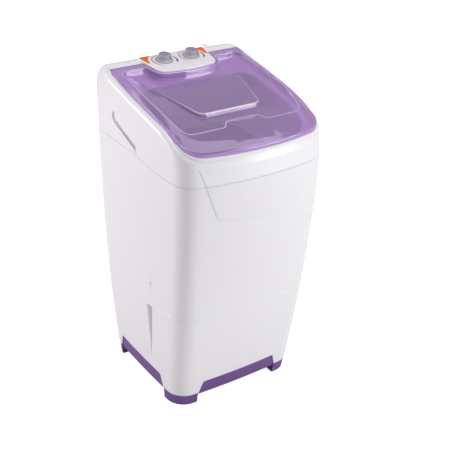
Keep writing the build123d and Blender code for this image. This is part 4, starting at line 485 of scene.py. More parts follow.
body_levels = np.array([body_outline(height) for height in np.arange(0, LEVEL_TOP, LEVEL_STEP)])
body_outward = np.array([outward(outline) for outline in body_levels])
BODY_COLUMNS = body_levels.shape[1]


def body_loop(heights, depth=0.0):
    """Loop round the body with a height for each column, set in by a depth for each."""
    heights = np.broadcast_to(heights, BODY_COLUMNS).astype(float)
    place = np.clip(heights / LEVEL_STEP, 0, len(body_levels) - 1.001)
    low = place.astype(int)
    column = np.arange(BODY_COLUMNS)
    plan = between(body_levels[low, column], body_levels[low + 1, column],
                   (place - low)[:, None])
    return at_height(plan - body_outward[low, column] * np.reshape(depth, (-1, 1)), heights)


def front_surface(x, height):
    """Place on the front wall at one side position and height, in front view."""
    outline = body_loop(height)
    front = outline[outline[:, 1] < FRONT_WALL_FROM]
    front = front[np.argsort(front[:, 0])]
    return np.interp(x, front[:, 0], front[:, 1])


def side_surface(y, height):
    """Distance of the side wall from the middle at one place, in side view."""
    outline = body_loop(height)
    side = outline[outline[:, 0] > SIDE_WALL_FROM]
    side = side[np.argsort(side[:, 1])]
    return float(np.interp(y, side[:, 1], side[:, 0]))


# Meshes

def mesh_object(name, points, faces):
    """Object in the scene with a mesh from millimetre points."""
    mesh = bpy.data.meshes.new(name)
    mesh.from_pydata((np.asarray(points, float) * MM).tolist(), [], faces)
    item = bpy.data.objects.new(name, mesh)
    bpy.context.scene.collection.objects.link(item)
    return item


def new_piece(name, points, faces, body, slot, replaced=()):
    """Smooth-shaded piece from millimetre points, riding on a body."""
    piece = mesh_object(name, points, faces)
    piece.data.validate()
    finish_shading(piece)
    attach(piece, body)
    if replaced:
        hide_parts(*replaced)
    piece.data.materials.append(bpy.data.materials[slot])
    return piece


def finish_shading(piece, sharp=SHARP):
    """Smooth shading, with edges sharper than an angle left crisp."""
    piece.data.shade_smooth()
    piece.data.set_sharp_from_angle(angle=sharp)


def loop_faces(rows, columns, ends=(False, False), wrap=False):
    """Faces between closed loops of points that are stacked row by row, with the ends
    closed or the last loop joined to the first where asked."""
    faces = []
    for row in range(rows if wrap else rows - 1):
        low, high = row * columns, (row + 1) % rows * columns
        for column in range(columns):
            after = (column + 1) % columns
            faces.append((low + column, low + after, high + after, high + column))
    if ends[0]:
        faces.append(tuple(range(columns))[::-1])
    if ends[1]:
        faces.append(tuple(range((rows - 1) * columns, rows * columns)))
    return faces


def grid_faces(rows, columns):
    """Faces of an open grid of points that is stacked row by row."""
    return [
        (row * columns + column, row * columns + column + 1,
         (row + 1) * columns + column + 1, (row + 1) * columns + column)
        for row in range(rows - 1) for column in range(columns - 1)]


def loop_piece(name, loops, body, slot, replaced=(), ends=(False, False), wrap=False):
    """Piece made of closed loops of points."""
    faces = loop_faces(len(loops), len(loops[0]), ends, wrap)
    return new_piece(name, np.concatenate(loops), faces, body, slot, replaced)


def slanted_block(lower, upper):
    """Closed block between two outlines with the same number of corners. It is used to
    cut or join another mesh, then removed."""
    faces = loop_faces(2, len(lower), (True, True))
    return mesh_object("block", np.concatenate((lower, upper)), faces)


def prism(outline, axis, low, high):
    """Closed block: an outline in the plane across an axis, carried from low to high."""
    outline = np.array(outline, float)
    ends = []
    for place in (low, high):
        filler = np.full(len(outline), place)
        columns = {0: (filler, outline[:, 0], outline[:, 1]),
                   1: (outline[:, 0], filler, outline[:, 1]),
                   2: (outline[:, 0], outline[:, 1], filler)}[axis]
        ends.append(np.column_stack(columns))
    if axis == 1:
        ends.reverse()
    return slanted_block(*ends)


def combine(piece, steps):
    """Joins blocks to a piece or cuts them from it, in turn, and removes the blocks. Each
    step is an operation and a block."""
    for operation, block in steps:
        change = piece.modifiers.new("shape", "BOOLEAN")
        change.operation = operation
        change.object = block
        change.solver = "MANIFOLD"
    settle(piece)
    for _, block in steps:
        bpy.data.objects.remove(block)
    finish_shading(piece)


def settle(piece):
    """Turns the modifiers of a piece into its plain mesh."""
    graph = bpy.context.evaluated_depsgraph_get()
    shaped = bpy.data.meshes.new_from_object(piece.evaluated_get(graph))
    piece.modifiers.clear()
    plain = piece.data
    piece.data = shaped
    bpy.data.meshes.remove(plain)
    shaped.name = piece.name


def thicken(piece, wall):
    """Gives a surface its wall thickness, inwards."""
    change = piece.modifiers.new("wall", "SOLIDIFY")
    change.thickness = wall * MM
    change.offset = -1
    settle(piece)


def wall_block(side, corners, depths, grow=0.0, reach=BLOCK_REACH):
    """Block through a side wall whose inner end follows the wall at a depth below each
    corner. corners are (y, z) places, and side is -1 for the left wall."""
    middle = np.mean(corners, 0)
    outer, inner = [], []
    for corner, depth in zip(corners, depths):
        spot = np.array(corner, float)
        spot = spot + grow * (spot - middle) / np.linalg.norm(spot - middle)
        wall = side_surface(spot[0], spot[1])
        outer.append((side * (wall + reach), *spot))
        inner.append((side * (wall - depth), *spot))
    ends = (inner, outer) if side > 0 else (outer, inner)
    return slanted_block(np.array(ends[0]), np.array(ends[1]))


# Finishes

def value_group(name, inputs, outputs):
    """Empty shader node group with named sockets."""
    group = bpy.data.node_groups.new(name, "ShaderNodeTree")
    for label, kind, default in inputs:
        socket = group.interface.new_socket(label, in_out="INPUT", socket_type=kind)
        socket.default_value = default
    for label, kind in outputs:
        group.interface.new_socket(label, in_out="OUTPUT", socket_type=kind)
    return group, group.nodes.new("NodeGroupInput"), group.nodes.new("NodeGroupOutput")


def add_node(tree, kind, values=(), **settings):
    """New shader node with its settings, and the values of some of its inputs."""
    node = tree.nodes.new(f"ShaderNode{kind}")
    for name, value in settings.items():
        setattr(node, name, value)
    for name, value in dict(values).items():
        node.inputs[name].default_value = value
    return node


def wire(tree, *pairs):
    """Links node sockets. Each pair is (node, output, node, input)."""
    for source, output, target, entry in pairs:
        tree.links.new(source.outputs[output], target.inputs[entry])


def moulded_group():
    """Fine moulded texture: small changes of colour and gloss, and a low grain."""
    group, entry, result = value_group(
        "moulded surface",
        [("Colour", "NodeSocketColor", (0.8, 0.8, 0.8, 1)), ("Roughness", "NodeSocketFloat", 0.4),
         ("Mottle", "NodeSocketFloat", 0.03), ("Grain Size", "NodeSocketFloat", 900.0)],
        SURFACE_OUTPUTS)
    place = add_node(group, "TexCoord")
    broad = add_node(group, "TexNoise", {"Scale": 7.0, "Detail": 4.0})
    grain = add_node(group, "TexNoise", {"Detail": 2.0})
    centred = add_node(group, "Math", {1: 0.5}, operation="SUBTRACT")
    amount = add_node(group, "Math", operation="MULTIPLY")
    bright = add_node(group, "Math", {1: 1.0}, operation="ADD")
    shade = add_node(group, "VectorMath", operation="SCALE")
    rough = add_node(group, "Math", {1: 2.0}, operation="MULTIPLY_ADD")
    wire(group,
         (place, "Object", broad, "Vector"), (place, "Object", grain, "Vector"),
         (entry, "Grain Size", grain, "Scale"), (broad, "Fac", centred, 0),
         (centred, 0, amount, 0), (entry, "Mottle", amount, 1), (amount, 0, bright, 0),
         (entry, "Colour", shade, 0), (bright, 0, shade, "Scale"),
         (amount, 0, rough, 0), (entry, "Roughness", rough, 2),
         (shade, 0, result, "Colour"), (rough, 0, result, "Roughness"),
         (grain, "Fac", result, "Height"))


def worn_group():
    """Metal surface: fine turning lines, stains and a slightly uneven gloss."""
    group, entry, result = value_group(
        "machined surface",
        [("Colour", "NodeSocketColor", (0.6, 0.6, 0.6, 1)),
         ("Stain Colour", "NodeSocketColor", (0.2, 0.18, 0.16, 1)),
         ("Stain", "NodeSocketFloat", 0.3), ("Roughness", "NodeSocketFloat", 0.35),
         ("Line Size", "NodeSocketFloat", 160.0)],
        SURFACE_OUTPUTS)
    place = add_node(group, "TexCoord")
    stains = add_node(group, "TexNoise", {"Scale": 22.0, "Detail": 6.0})
    mask = add_node(group, "MapRange", {"From Min": 0.45, "From Max": 0.8})
    share = add_node(group, "Math", operation="MULTIPLY")
    mix = add_node(group, "Mix", data_type="RGBA")
    rough = add_node(group, "Math", {1: 0.3}, operation="MULTIPLY_ADD")
    lines = add_node(group, "TexWave", {"Distortion": 1.5}, bands_direction="Z")
    wire(group,
         (place, "Object", stains, "Vector"), (stains, "Fac", mask, "Value"),
         (mask, "Result", share, 0), (entry, "Stain", share, 1), (share, 0, mix, "Factor"),
         (entry, "Colour", mix, MIX_COLOURS[0]), (entry, "Stain Colour", mix, MIX_COLOURS[1]),
         (share, 0, rough, 0), (entry, "Roughness", rough, 2),
         (place, "Object", lines, "Vector"), (entry, "Line Size", lines, "Scale"),
         (mix, MIX_RESULT, result, "Colour"), (rough, 0, result, "Roughness"),
         (lines, "Fac", result, "Height"))


def fresh_material(name):
    """New node material in place of the plain one that the model came with, and its
    shader."""
    if name in bpy.data.materials:
        bpy.data.materials.remove(bpy.data.materials[name])
    material = bpy.data.materials.new(name)
    material.use_nodes = True
    return material, material.node_tree.nodes["Principled BSDF"]


def grouped_material(name, group_name, values, relief, relief_height):
    """Material whose colour, gloss and fine relief come from a shared node group. Returns
    its tree, its shader and its relief node."""
    material, shader = fresh_material(name)
    tree = material.node_tree
    group = add_node(tree, "Group", values, node_tree=bpy.data.node_groups[group_name])
    bump = add_node(tree, "Bump", {"Strength": relief, "Distance": relief_height})
    wire(tree,
         (group, "Colour", shader, "Base Color"), (group, "Roughness", shader, "Roughness"),
         (group, "Height", bump, "Height"), (bump, "Normal", shader, "Normal"))
    return tree, shader, bump


def plastic(name, colour, roughness, coat=0.0, grain=0.06, mottle=0.03, grain_size=900.0,
            bevel=0.8, coat_roughness=0.08):
    """Moulded plastic or rubber, with its edges softened when rendered. Returns its tree
    and its shader."""
    values = {"Colour": (*colour, 1), "Roughness": roughness, "Mottle": mottle,
              "Grain Size": grain_size}
    tree, shader, bump = grouped_material(name, "moulded surface", values, grain, GRAIN_HEIGHT)
    if bevel:
        soften = add_node(tree, "Bevel", {"Radius": bevel * MM}, samples=4)
        wire(tree, (soften, "Normal", bump, "Normal"))
    shader.inputs["Coat Weight"].default_value = coat
    shader.inputs["Coat Roughness"].default_value = coat_roughness
    return tree, shader


def tinted(name, colour, highlight_colour, clear):
    """Clear tinted plastic, with a painted highlight where the mesh is marked along the lid's
    moulded edges: paler there, and glowing by emission though it is no lamp.
    """
    tree, shader = plastic(name, colour, 0.06, coat=0.6, grain=0.0, mottle=0.02, bevel=0,
                           coat_roughness=0.03)
    # Painted highlight: the marked edges take the paler highlight colour and glow with it.
    marked = add_node(tree, "Attribute", attribute_name=HIGHLIGHT_MARK)
    group = shader.inputs["Base Color"].links[0].from_node
    line = (*highlight_colour, 1)
    mix = add_node(tree, "Mix", {MIX_COLOURS[1]: line}, data_type="RGBA")
    glow = add_node(tree, "Mix", {MIX_COLOURS[0]: (0, 0, 0, 1), MIX_COLOURS[1]: line},
                    data_type="RGBA")
    wire(tree,
         (group, "Colour", mix, MIX_COLOURS[0]), (marked, "Fac", mix, "Factor"),
         (marked, "Fac", glow, "Factor"), (mix, MIX_RESULT, shader, "Base Color"),
         (glow, MIX_RESULT, shader, "Emission Color"))
    # The emission strength sets how much the painted highlight on the marked edges glows.
    for entry, value in (("Emission Strength", 0.17), ("Transmission Weight", clear),
                         ("IOR", 1.3)):
        shader.inputs[entry].default_value = value


def metal(name, colour, roughness, stain, metallic=1.0, line_size=160.0,
          stain_colour=(0.2, 0.18, 0.16)):
    """Bare, plated or painted metal."""
    values = {"Colour": (*colour, 1), "Stain Colour": (*stain_colour, 1), "Stain": stain,
              "Roughness": roughness, "Line Size": line_size}
    shader = grouped_material(name, "machined surface", values, *LINE_RELIEF)[1]
    shader.inputs["Metallic"].default_value = metallic


class WasherFinish(bpy.types.PropertyGroup):
    shell: FloatVectorProperty(
        name="Shell", description="Colour of the white shells", subtype="COLOR",
        default=(0.86, 0.85, 0.865), min=0, max=1)
    base: FloatVectorProperty(
        name="Base", description="Colour of the base frame and feet", subtype="COLOR",
        default=(0.155, 0.065, 0.270), min=0, max=1)
    lid: FloatVectorProperty(
        name="Lid", description="Colour of the clear lid", subtype="COLOR",
        default=(0.83, 0.61, 1.0), min=0, max=1)
    # Colour painted as a highlight and glow along the lid's ridge and the raised field's edge.
    lid_edge_highlight: FloatVectorProperty(
        name="Lid edge highlights", description="Colour of the painted highlight on the lid's moulded edges", subtype="COLOR",
        default=(0.95, 0.90, 0.97), min=0, max=1)
    lid_clear: FloatProperty(
        name="Lid clearness", description="Share of light that the lid lets through",
        default=0.80, min=0, max=1, subtype="FACTOR")
    inlay: FloatVectorProperty(
        name="Inlay", description="Colour of the panel's corners", subtype="COLOR",
        default=(0.78, 0.15, 0.0), min=0, max=1)
    cap: FloatVectorProperty(
        name="Cap", description="Colour of the knob caps", subtype="COLOR",
        default=(0.32, 0.20, 0.38), min=0, max=1)


class WasherSizes(bpy.types.PropertyGroup):
    shell_wall: FloatProperty(
        name="Shell wall", description="Wall of the cabinet and top cover", default=0.003,
        min=0.001, max=0.01, unit="LENGTH")
    seam_gap: FloatProperty(
        name="Seam gap", description="Open joint between cabinet and top cover", default=0.0009,
        min=0, max=0.003, unit="LENGTH")
    shield_rise: FloatProperty(
        name="Shield rise", description="How far the front shield stands proud", default=0.002,
        min=0, max=0.004, unit="LENGTH")
    shield_edge: FloatProperty(
        name="Shield edge", description="Width of the shield's soft edge", default=0.005,
        min=0.001, max=0.02, unit="LENGTH")
    shield_steps: IntProperty(
        name="Shield steps", description="Mesh steps across the shield", default=90, min=20,
        max=300)


# Pieces

def build_cabinet(sizes):
    """Cabinet shell with legs, crease, side recesses, grooves and service opening."""
    wall = sizes.shell_wall / MM
    gap = sizes.seam_gap / MM / 2
    low_rows, high_rows, seam_rows = CABINET_ROWS
    straight = np.concatenate((
        np.linspace(LEG_FOOT, CREASE - CREASE_CLEAR[0], low_rows),
        CREASE + CREASE_HALF * np.array(CREASE_ROWS),
        np.linspace(CREASE + CREASE_CLEAR[1], STRAIGHT_TOP, high_rows)))
    loops = []
    for height in straight:
        near = np.clip(1.25 - abs(height - CREASE) / CREASE_HALF, 0, 1)
        plan = body_loop(height)
        side = smooth_step((np.abs(plan[:, 0]) - CREASE_FRONT) / CREASE_FADE)
        side = side * smooth_step((CREASE_SIDE - plan[:, 1]) / CREASE_FADE)
        loops.append(body_loop(height, CREASE_HALF * near * side))
    top = seam_height(body_loop(SEAM)[:, 1]) - gap
    for share in np.linspace(0, 1, seam_rows)[1:]:
        loops.append(body_loop(between(STRAIGHT_TOP, top, share)))
    cabinet = loop_piece("cabinet_shell", loops, "machine", "white_shell", ["cabinet"])
    thicken(cabinet, wall)
    cuts = []
    for axis, (start, end) in ((1, FRONT_NOTCH), (0, SIDE_NOTCH)):
        outline = rounded(
            [(start, -FAR), (end, -FAR), (end, LEG_FOOT), (end - NOTCH_SLANT, NOTCH_TOP),
             (start + NOTCH_SLANT, NOTCH_TOP), (start, LEG_FOOT)],
            [0, 0, 0, NOTCH_RADIUS, NOTCH_RADIUS, 0])
        cuts.append(("DIFFERENCE", prism(outline, axis, -FAR, FAR)))
    opening = rounded(rectangle(*SERVICE_OPENING), [SERVICE_RADIUS] * 4)
    cuts.append(("DIFFERENCE", prism(opening, 1, SERVICE_DEPTH, FAR)))
    groove = rounded(rectangle(*GROOVE), [GROOVE_RADIUS] * 4, 3)
    for side in (-1, 1):
        corners, depths, slit = RECESS[::side], np.array(RECESS_DEPTHS)[::side], groove[::side]
        cuts.append(("UNION", wall_block(side, corners, depths + wall, BLOCK_GROWTH, -wall / 2)))
        cuts.append(("DIFFERENCE", wall_block(side, corners, depths)))
        cuts.append(("DIFFERENCE", wall_block(side, slit, [GROOVE_DEPTH] * len(slit))))
    combine(cabinet, cuts)
    hidden = wall - LEDGE_OVERLAP
    for number, (foot, head, reach) in enumerate(LEDGES):
        ring = [body_loop(foot, hidden), body_loop(head, hidden), body_loop(head, reach),
                body_loop(foot, reach)]
        loop_piece(f"cabinet_ledge_{number}", ring, "machine", "white_shell", wrap=True)


def shield_half(height):
    """Half width of the shield at one height, without its foot corners."""
    (foot_x, foot_z), (top_x, top_z) = SHIELD_CORNER, SHIELD_TOP
    return foot_x + (top_x - foot_x) * (height - foot_z) / (top_z - foot_z)


def shield_base(x):
    """Height of the shield's lower edge at one side position, corners rounded."""
    foot_x, foot_z = SHIELD_CORNER
    curve = SHIELD_FOOT + (foot_z - SHIELD_FOOT) * (x / foot_x) ** 2
    corner = max(abs(x) - foot_x + SHIELD_RADIUS, 0) / SHIELD_STRETCH
    return curve + SHIELD_RADIUS - math.sqrt(max(SHIELD_RADIUS ** 2 - corner ** 2, 0))


def shield_point(row, share, low, high, rise, soft):
    """One place on the raised field."""
    height = between(low(share), high(share), row)
    x = share * shield_half(height)
    edge = min((1 - abs(share)) * shield_half(height), (height - shield_base(x)))
    fade = smooth_step((SHIELD_HEAD - height) / SHIELD_FADE)
    lift = -SHIELD_SINK + (rise * fade + SHIELD_SINK) * float(smooth_step(edge / soft))
    return x, front_surface(x, height) - lift, height


def shield_patch(name, low, high, sizes):
    """Raised field that follows the front wall, from one height curve to another."""
    steps = sizes.shield_steps
    rise = sizes.shield_rise / MM
    soft = sizes.shield_edge / MM
    across = np.sin(np.linspace(-math.pi / 2, math.pi / 2, steps))
    points = [shield_point(row, share, low, high, rise, soft)
              for row in np.linspace(0, 1, steps // 2) for share in across]
    new_piece(name, points, grid_faces(steps // 2, steps), "machine", "white_shell")


def build_shield(sizes):
    """Raised shield on the front, in two fields that meet at the seam."""
    gap = sizes.seam_gap / MM / 2
    shield_patch("cabinet_shield", lambda share: shield_base(share * SHIELD_CORNER[0]),
                 lambda share: SEAM - gap, sizes)
    shield_patch("cover_shield", lambda share: SEAM + gap, lambda share: SHIELD_HEAD, sizes)


def opening_outline(grow, rear):
    """Plan of the lid opening, larger by grow on the front and sides."""
    return bowed_outline(
        (LID_HALF + grow, LID_HALF + grow), LID_FRONT - grow, rear, LID_BOWS,
        (LID_CORNERS[0] + grow, LID_CORNERS[1]), BODY_COUNTS)


def mouth_outline(share):
    """Plan of the tub mouth between its foot (0) and its full height (1)."""
    half, front, rear, _ = between(np.array(MOUTH_FOOT), np.array(MOUTH_TOP), share)
    return bowed_outline((half, half), front, rear, (0, 0, 0), (MOUTH_CORNER, MOUTH_CORNER),
                         BODY_COUNTS)


mouth_levels = np.array([mouth_outline(share) for share in np.linspace(0, 1, MOUTH_LEVELS)])


def mouth_at(shares, grow=0.0):
    """Plan of the tub mouth with a share of its height for each column."""
    place = np.clip(shares, 0, 0.9999) * (len(mouth_levels) - 1)
    low = place.astype(int)
    column = np.arange(BODY_COLUMNS)
    plan = between(mouth_levels[low, column], mouth_levels[low + 1, column],
                   (place - low)[:, None])
    return plan + outward(plan) * grow


def below_rim(start, end, shares, drop):
    """Loops from one plan to another, at a set drop below the rim."""
    plans = [between(start, end, share) for share in shares]
    return [at_height(plan, rim_height(plan[:, 1]) - drop) for plan in plans]


def grip_steps(side, wall):
    """Cuts and joins that form one hand grip: a sloping pocket over a thick lip."""
    start = np.array(GRIP_START)
    end = start + GRIP_LENGTH * np.array((math.cos(GRIP_SLOPE), math.sin(GRIP_SLOPE)))
    rise, drop = np.array((0.0, GRIP_HEIGHT)), np.array((0.0, -GRIP_LIP))
    pocket = ([start, end, end + rise, start + rise],
              np.array((GRIP_DEPTH, GRIP_DEPTH, GRIP_FADE, GRIP_FADE)))
    notch = rectangle(*GRIP_NOTCH), np.full(4, GRIP_NOTCH_DEPTH)
    lip = [start + drop, end + drop, end, start]
    steps = []
    for corners, depth in (pocket, notch):
        steps.append(("UNION", wall_block(side, corners[::side], depth[::side] + wall,
                                          BLOCK_GROWTH, -wall / 2)))
    for corners, depth in (pocket, notch):
        steps.append(("DIFFERENCE", wall_block(side, corners[::side], depth[::side])))
    steps.append(("UNION", wall_block(side, lip[::side], np.full(4, GRIP_ROOT), 0.0, GRIP_PROUD)))
    return steps


def build_top_cover(sizes):
    """Top cover: outer wall, rounded rim, lid seat, deck, tub mouth and hand grips."""
    wall = sizes.shell_wall / MM
    gap = sizes.seam_gap / MM / 2
    side_rows, edge_rows, rim_rows, deck_rows, lip_rows, mouth_rows = COVER_ROWS
    loops = []
    plan = body_loop(SEAM)[:, 1]
    for share in np.linspace(0, 1, side_rows):
        for _ in range(SETTLING):
            high = rim_height(plan) - rim_rounding(plan, RIM_SHOULDER)
            loop = body_loop(between(seam_height(plan) + gap, high, share))
            plan = loop[:, 1]
        loops.append(loop)
    for reach, drop in rounding_rows(edge_rows):
        for _ in range(SETTLING):
            rise = rim_height(plan) - rim_rounding(plan, RIM_SHOULDER) * drop
            loop = body_loop(rise, rim_rounding(plan) * reach)
            plan = loop[:, 1]
        loops.append(loop)
    opening = opening_outline(OPENING_GAP, OPENING_REAR)
    seat = opening_outline(OPENING_GAP - SEAT_WIDTH, OPENING_REAR - SEAT_REAR)
    loops += below_rim(loops[-1][:, :2], opening, np.linspace(0, 1, rim_rows)[1:], 0)
    loops += below_rim(opening, seat, (0, 1), SEAT_DROP)
    mouth_foot, mouth_head = MOUTH_FOOT[3], MOUTH_TOP[3]
    share = np.full(BODY_COLUMNS, 0.5)
    for _ in range(4 * SETTLING):
        edge = mouth_at(share, MOUTH_ROUNDING)
        top = rim_height(edge[:, 1]) - DECK_DROP
        share = (top - mouth_foot) / (mouth_head - mouth_foot)
    loops += below_rim(seat, edge, np.linspace(0, 1, deck_rows), DECK_DROP)
    for reach, drop in rounding_rows(lip_rows):
        height = top - MOUTH_ROUNDING * reach
        share = (height - mouth_foot) / (mouth_head - mouth_foot)
        loops.append(at_height(mouth_at(share, MOUTH_ROUNDING * drop), height))
    lip = loops[-1][:, 2]
    for way in np.linspace(0, 1, mouth_rows)[1:]:
        height = between(lip, mouth_foot, way)
        share = (height - mouth_foot) / (mouth_head - mouth_foot)
        loops.append(at_height(mouth_at(share), height))
    cover = loop_piece("top_cover_shell", loops, "machine", "white_shell", ["top_cover"])
    thicken(cover, wall)
    combine(cover, [step for side in (-1, 1) for step in grip_steps(side, wall)])


def pod_half(grow=0.0):
    """Right half of the control pod's plan, from its front middle to its rear corner."""
    corner = np.array(POD_FRONT)
    front_arc = arc_centre(corner * (-1, 1), corner, POD_FRONT_BOW)
    side_arc = arc_centre(corner, POD_REAR, 0)
    centre, a, b = round_corner(front_arc, side_arc, POD_CORNER, corner)
    front, turn, side = POD_COUNTS
    half = np.concatenate((
        arc_points(front_arc[0], (0, POD_FRONT[1] - POD_FRONT_BOW), a, front),
        arc_points(centre, a, b, turn), np.linspace(b, POD_REAR, side)))
    along = np.gradient(half, axis=0)
    away = np.stack((along[:, 1], -along[:, 0]), 1)
    away[0] = (0, -1)
    return half + grow * away / np.linalg.norm(away, axis=1)[:, None]


def panel_height(y):
    """Height of the sloping panel plane at one place."""
    return POD_REAR_HEIGHT - math.tan(POD_SLOPE) * (POD_REAR[1] - y)


def build_pod():
    """Control pod that stands in the lid's cut-out and carries the panel."""
    rear = np.linspace(POD_REAR, (0, POD_REAR[1]), POD_REAR_ROWS)[1:]
    outline = mirrored(np.concatenate((pod_half(), rear)))
    top = panel_height(outline[:, 1]) - POD_EDGE
    loops = [at_height(outline, between(POD_FOOT, top, share)) for share in (0, 0.5, 1)]
    for reach, drop in rounding_rows(POD_EDGE_ROWS):
        plan = inset(outline, POD_EDGE * reach)
        loops.append(at_height(plan, panel_height(plan[:, 1]) - POD_EDGE * drop))
    for depth, drop in ((PANEL_MARGIN, 0), (PANEL_MARGIN, PANEL_DEPTH),
                        (4 * PANEL_MARGIN, PANEL_DEPTH)):
        plan = inset(outline, depth)
        loops.append(at_height(plan, panel_height(plan[:, 1]) - drop))
    loop_piece("control_pod", loops, "machine", "white_panel", ends=(True, True))


# Lid

def lid_edge_half():
    """Right half of the lid's edge, from its front middle round to the pod's front."""
    outline = opening_outline(0, LID_REAR)
    half = outline[:len(outline) // 2 + 1]
    pod = pod_half(POD_GAP)[::-1]
    pod = pod[pod[:, 1] < LID_REAR]
    outer = half[(half[:, 0] > pod[0, 0] + 1) | (half[:, 1] < 0)]
    way = np.concatenate((outer, [(pod[0, 0], LID_REAR)], pod))
    stops = [(0, LID_FRONT), *EDGE_STOPS, (pod[0, 0], LID_REAR), *EDGE_POD_STOPS, tuple(pod[-1])]
    return spaced(way, stops, LID_COUNTS)


def ridge_half():
    """Right half of the ridge line round the lid's dish, set back at the grip tab."""
    pod = pod_half(RIDGE_POD_GAP)[::-1]
    rear = RIDGE_SIDE[-1][1]
    pod = pod[pod[:, 1] < rear - RIDGE_REAR_STEP]
    front, corner = (0, RIDGE_TAB[0][1]), pod[0, 0]
    spots = [front, *RIDGE_TAB, *RIDGE_SIDE, (corner + RIDGE_POD_STEP[0], rear), tuple(pod[0])]
    way = np.concatenate((rounded(spots, RIDGE_RADII, RIDGE_TURN, closed=False), pod[1:]))
    stops = [front, *RIDGE_TAB, *RIDGE_STOPS, (corner + RIDGE_POD_STEP[1], rear),
             *RIDGE_POD_STOPS, tuple(pod[-1])]
    return spaced(way, stops, LID_COUNTS)


def field_half():
    """Right half of the raised field on the dish's floor."""
    front, rear = FIELD
    spots = [(0, front[1]), front, rear, (0, rear[1])]
    way = rounded(spots, [0, FIELD_CORNER, FIELD_CORNER, 0], FIELD_TURN, closed=False)
    return spaced(way, [spots[0], *FIELD_STOPS, spots[-1]], LID_COUNTS)


def dish_height(plan):
    """Height of the lid's dish: a floor that slopes up its sides to the ridge."""
    x, y = np.abs(plan[:, 0]), plan[:, 1]
    foot_y, foot_x = np.array(DISH_FOOT).T
    foot = np.interp(y, foot_y, foot_x)
    entry = smooth_step((y - foot_y[0]) / (foot_y[1] - foot_y[0]))
    floor = between(lid_height(y) - DISH_STEP, rim_height(y) - DISH_DROP, entry)
    slope = np.clip((x - foot) / (RIDGE_REACH - foot), 0, 1)
    return between(floor, lid_height(y), slope)


def field_height(plan):
    """Height of the raised field, which fades into the dish's floor at its rear."""
    (_, front), (_, rear) = FIELD
    share = np.clip((plan[:, 1] - front) / (rear - front), 0, 1)
    return rim_height(plan[:, 1]) - DISH_DROP + FIELD_RISE * (1 - share)


def lid_columns():
    """For each column of the lid's mesh, whether it is on the outer edge (1) or on the
    rear edge and the pod's cut-out (0). The first six counts are on the outer edge."""
    outer = np.ones(sum(LID_COUNTS) + 1)
    start = sum(LID_COUNTS[:6])
    outer[start:] = 0
    outer[start - LID_BLEND:start] = np.linspace(1, 0, LID_BLEND)
    return np.concatenate((outer, outer[-2:0:-1]))


def field_highlight(plan):
    """Strength of the painted highlight on the raised field's edge: full at its front, fading to the
    rear.
    """
    (_, front), (_, rear) = FIELD
    return np.clip(1.1 - (plan[:, 1] - front) / (rear - front), 0, 1)


def tab_dimple(plan):
    """Shallow finger hollow in front of the grip tab."""
    middle, half, reach, depth = TAB_DIMPLE
    away = (plan[:, 0] / half) ** 2 + ((plan[:, 1] - middle) / reach) ** 2
    return depth * smooth_step(1 - away)


def build_lid():
    """Clear lid: skirt, rounded edge, ridge line, dish and raised field."""
    edge, ridge, field = [mirrored(half) for half in (lid_edge_half(), ridge_half(), field_half())]
    outer = lid_columns()
    edge_rows, border_rows, dish_rows, field_rows = LID_ROWS
    rounding = LID_EDGE * between(LID_EDGE_REAR, 1, outer)
    spare = np.minimum(lid_height(edge[:, 1]) - rim_height(edge[:, 1]) - LID_STEP, LID_CROWN)
    crown = np.maximum(spare, LEAST_CROWN) * outer
    foot = rim_height(edge[:, 1]) - LID_DROP
    head = lid_height(edge[:, 1]) - crown - rounding
    rows = [(edge, between(foot, head, share), 0) for share in (0, 0.5, 1)]
    for reach, drop in rounding_rows(edge_rows):
        plan = inset(edge, rounding * reach)
        rows.append((plan, lid_height(plan[:, 1]) - crown - rounding * drop, 0))
    start, end = rows[-1][0], inset(ridge, -RIDGE_MARGIN)
    for share in 1 - (1 - np.linspace(0, 1, border_rows)[1:]) ** BORDER_EASE:
        plan = between(start, end, share)
        drop = crown * (1 - share) ** 2 + tab_dimple(plan)
        rows.append((plan, lid_height(plan[:, 1]) - drop, 0))
    for depth, lift in RIDGE_ROWS:
        plan = inset(ridge, depth)
        rows.append((plan, lid_height(plan[:, 1]) + lift, 1))
    for depth, share in DISH_EDGE_ROWS:
        plan = inset(ridge, depth)
        rows.append((plan, between(lid_height(plan[:, 1]), dish_height(plan), share), 0))
    start, end = inset(ridge, DISH_MARGIN), inset(field, -FIELD_MARGIN)
    for share in np.linspace(0, 1, dish_rows):
        plan = between(start, end, share)
        rows.append((plan, dish_height(plan), 0))
    for depth, share, mark in FIELD_ROWS:
        plan = inset(field, depth)
        height = between(dish_height(plan), field_height(plan), share)
        rows.append((plan, height, mark * field_highlight(plan)))
    start = rows[-1][0]
    for share in np.linspace(0, FIELD_REACH, field_rows)[1:]:
        plan = between(start, np.array(FIELD_CENTRE), share)
        rows.append((plan, field_height(plan), 0))
    loops = [at_height(plan, height) for plan, height, _ in rows]
    lid = loop_piece("lid_shell", loops, "lid", "lavender_clear", ["lid"], ends=(False, True))
    # Marks the ridge and the field's front edge, which the lid's material paints paler and makes
    # glow as a painted highlight.
    layer = lid.data.attributes.new(HIGHLIGHT_MARK, "FLOAT", "POINT")
    layer.data.foreach_set("value", np.concatenate(
        [np.broadcast_to(mark, len(edge)) for _, _, mark in rows]).astype(np.float32))
    thicken(lid, LID_WALL)
    finish_shading(lid, LID_SHARP)


# Knobs

def knob_frame(x):
    """Origin and axes of a knob on the sloping panel."""
    origin = np.array((x, KNOB_Y, panel_height(KNOB_Y)))
    up = np.array((0, -math.sin(POD_SLOPE), math.cos(POD_SLOPE)))
    back = np.array((0, math.cos(POD_SLOPE), math.sin(POD_SLOPE)))
    return origin, back, up


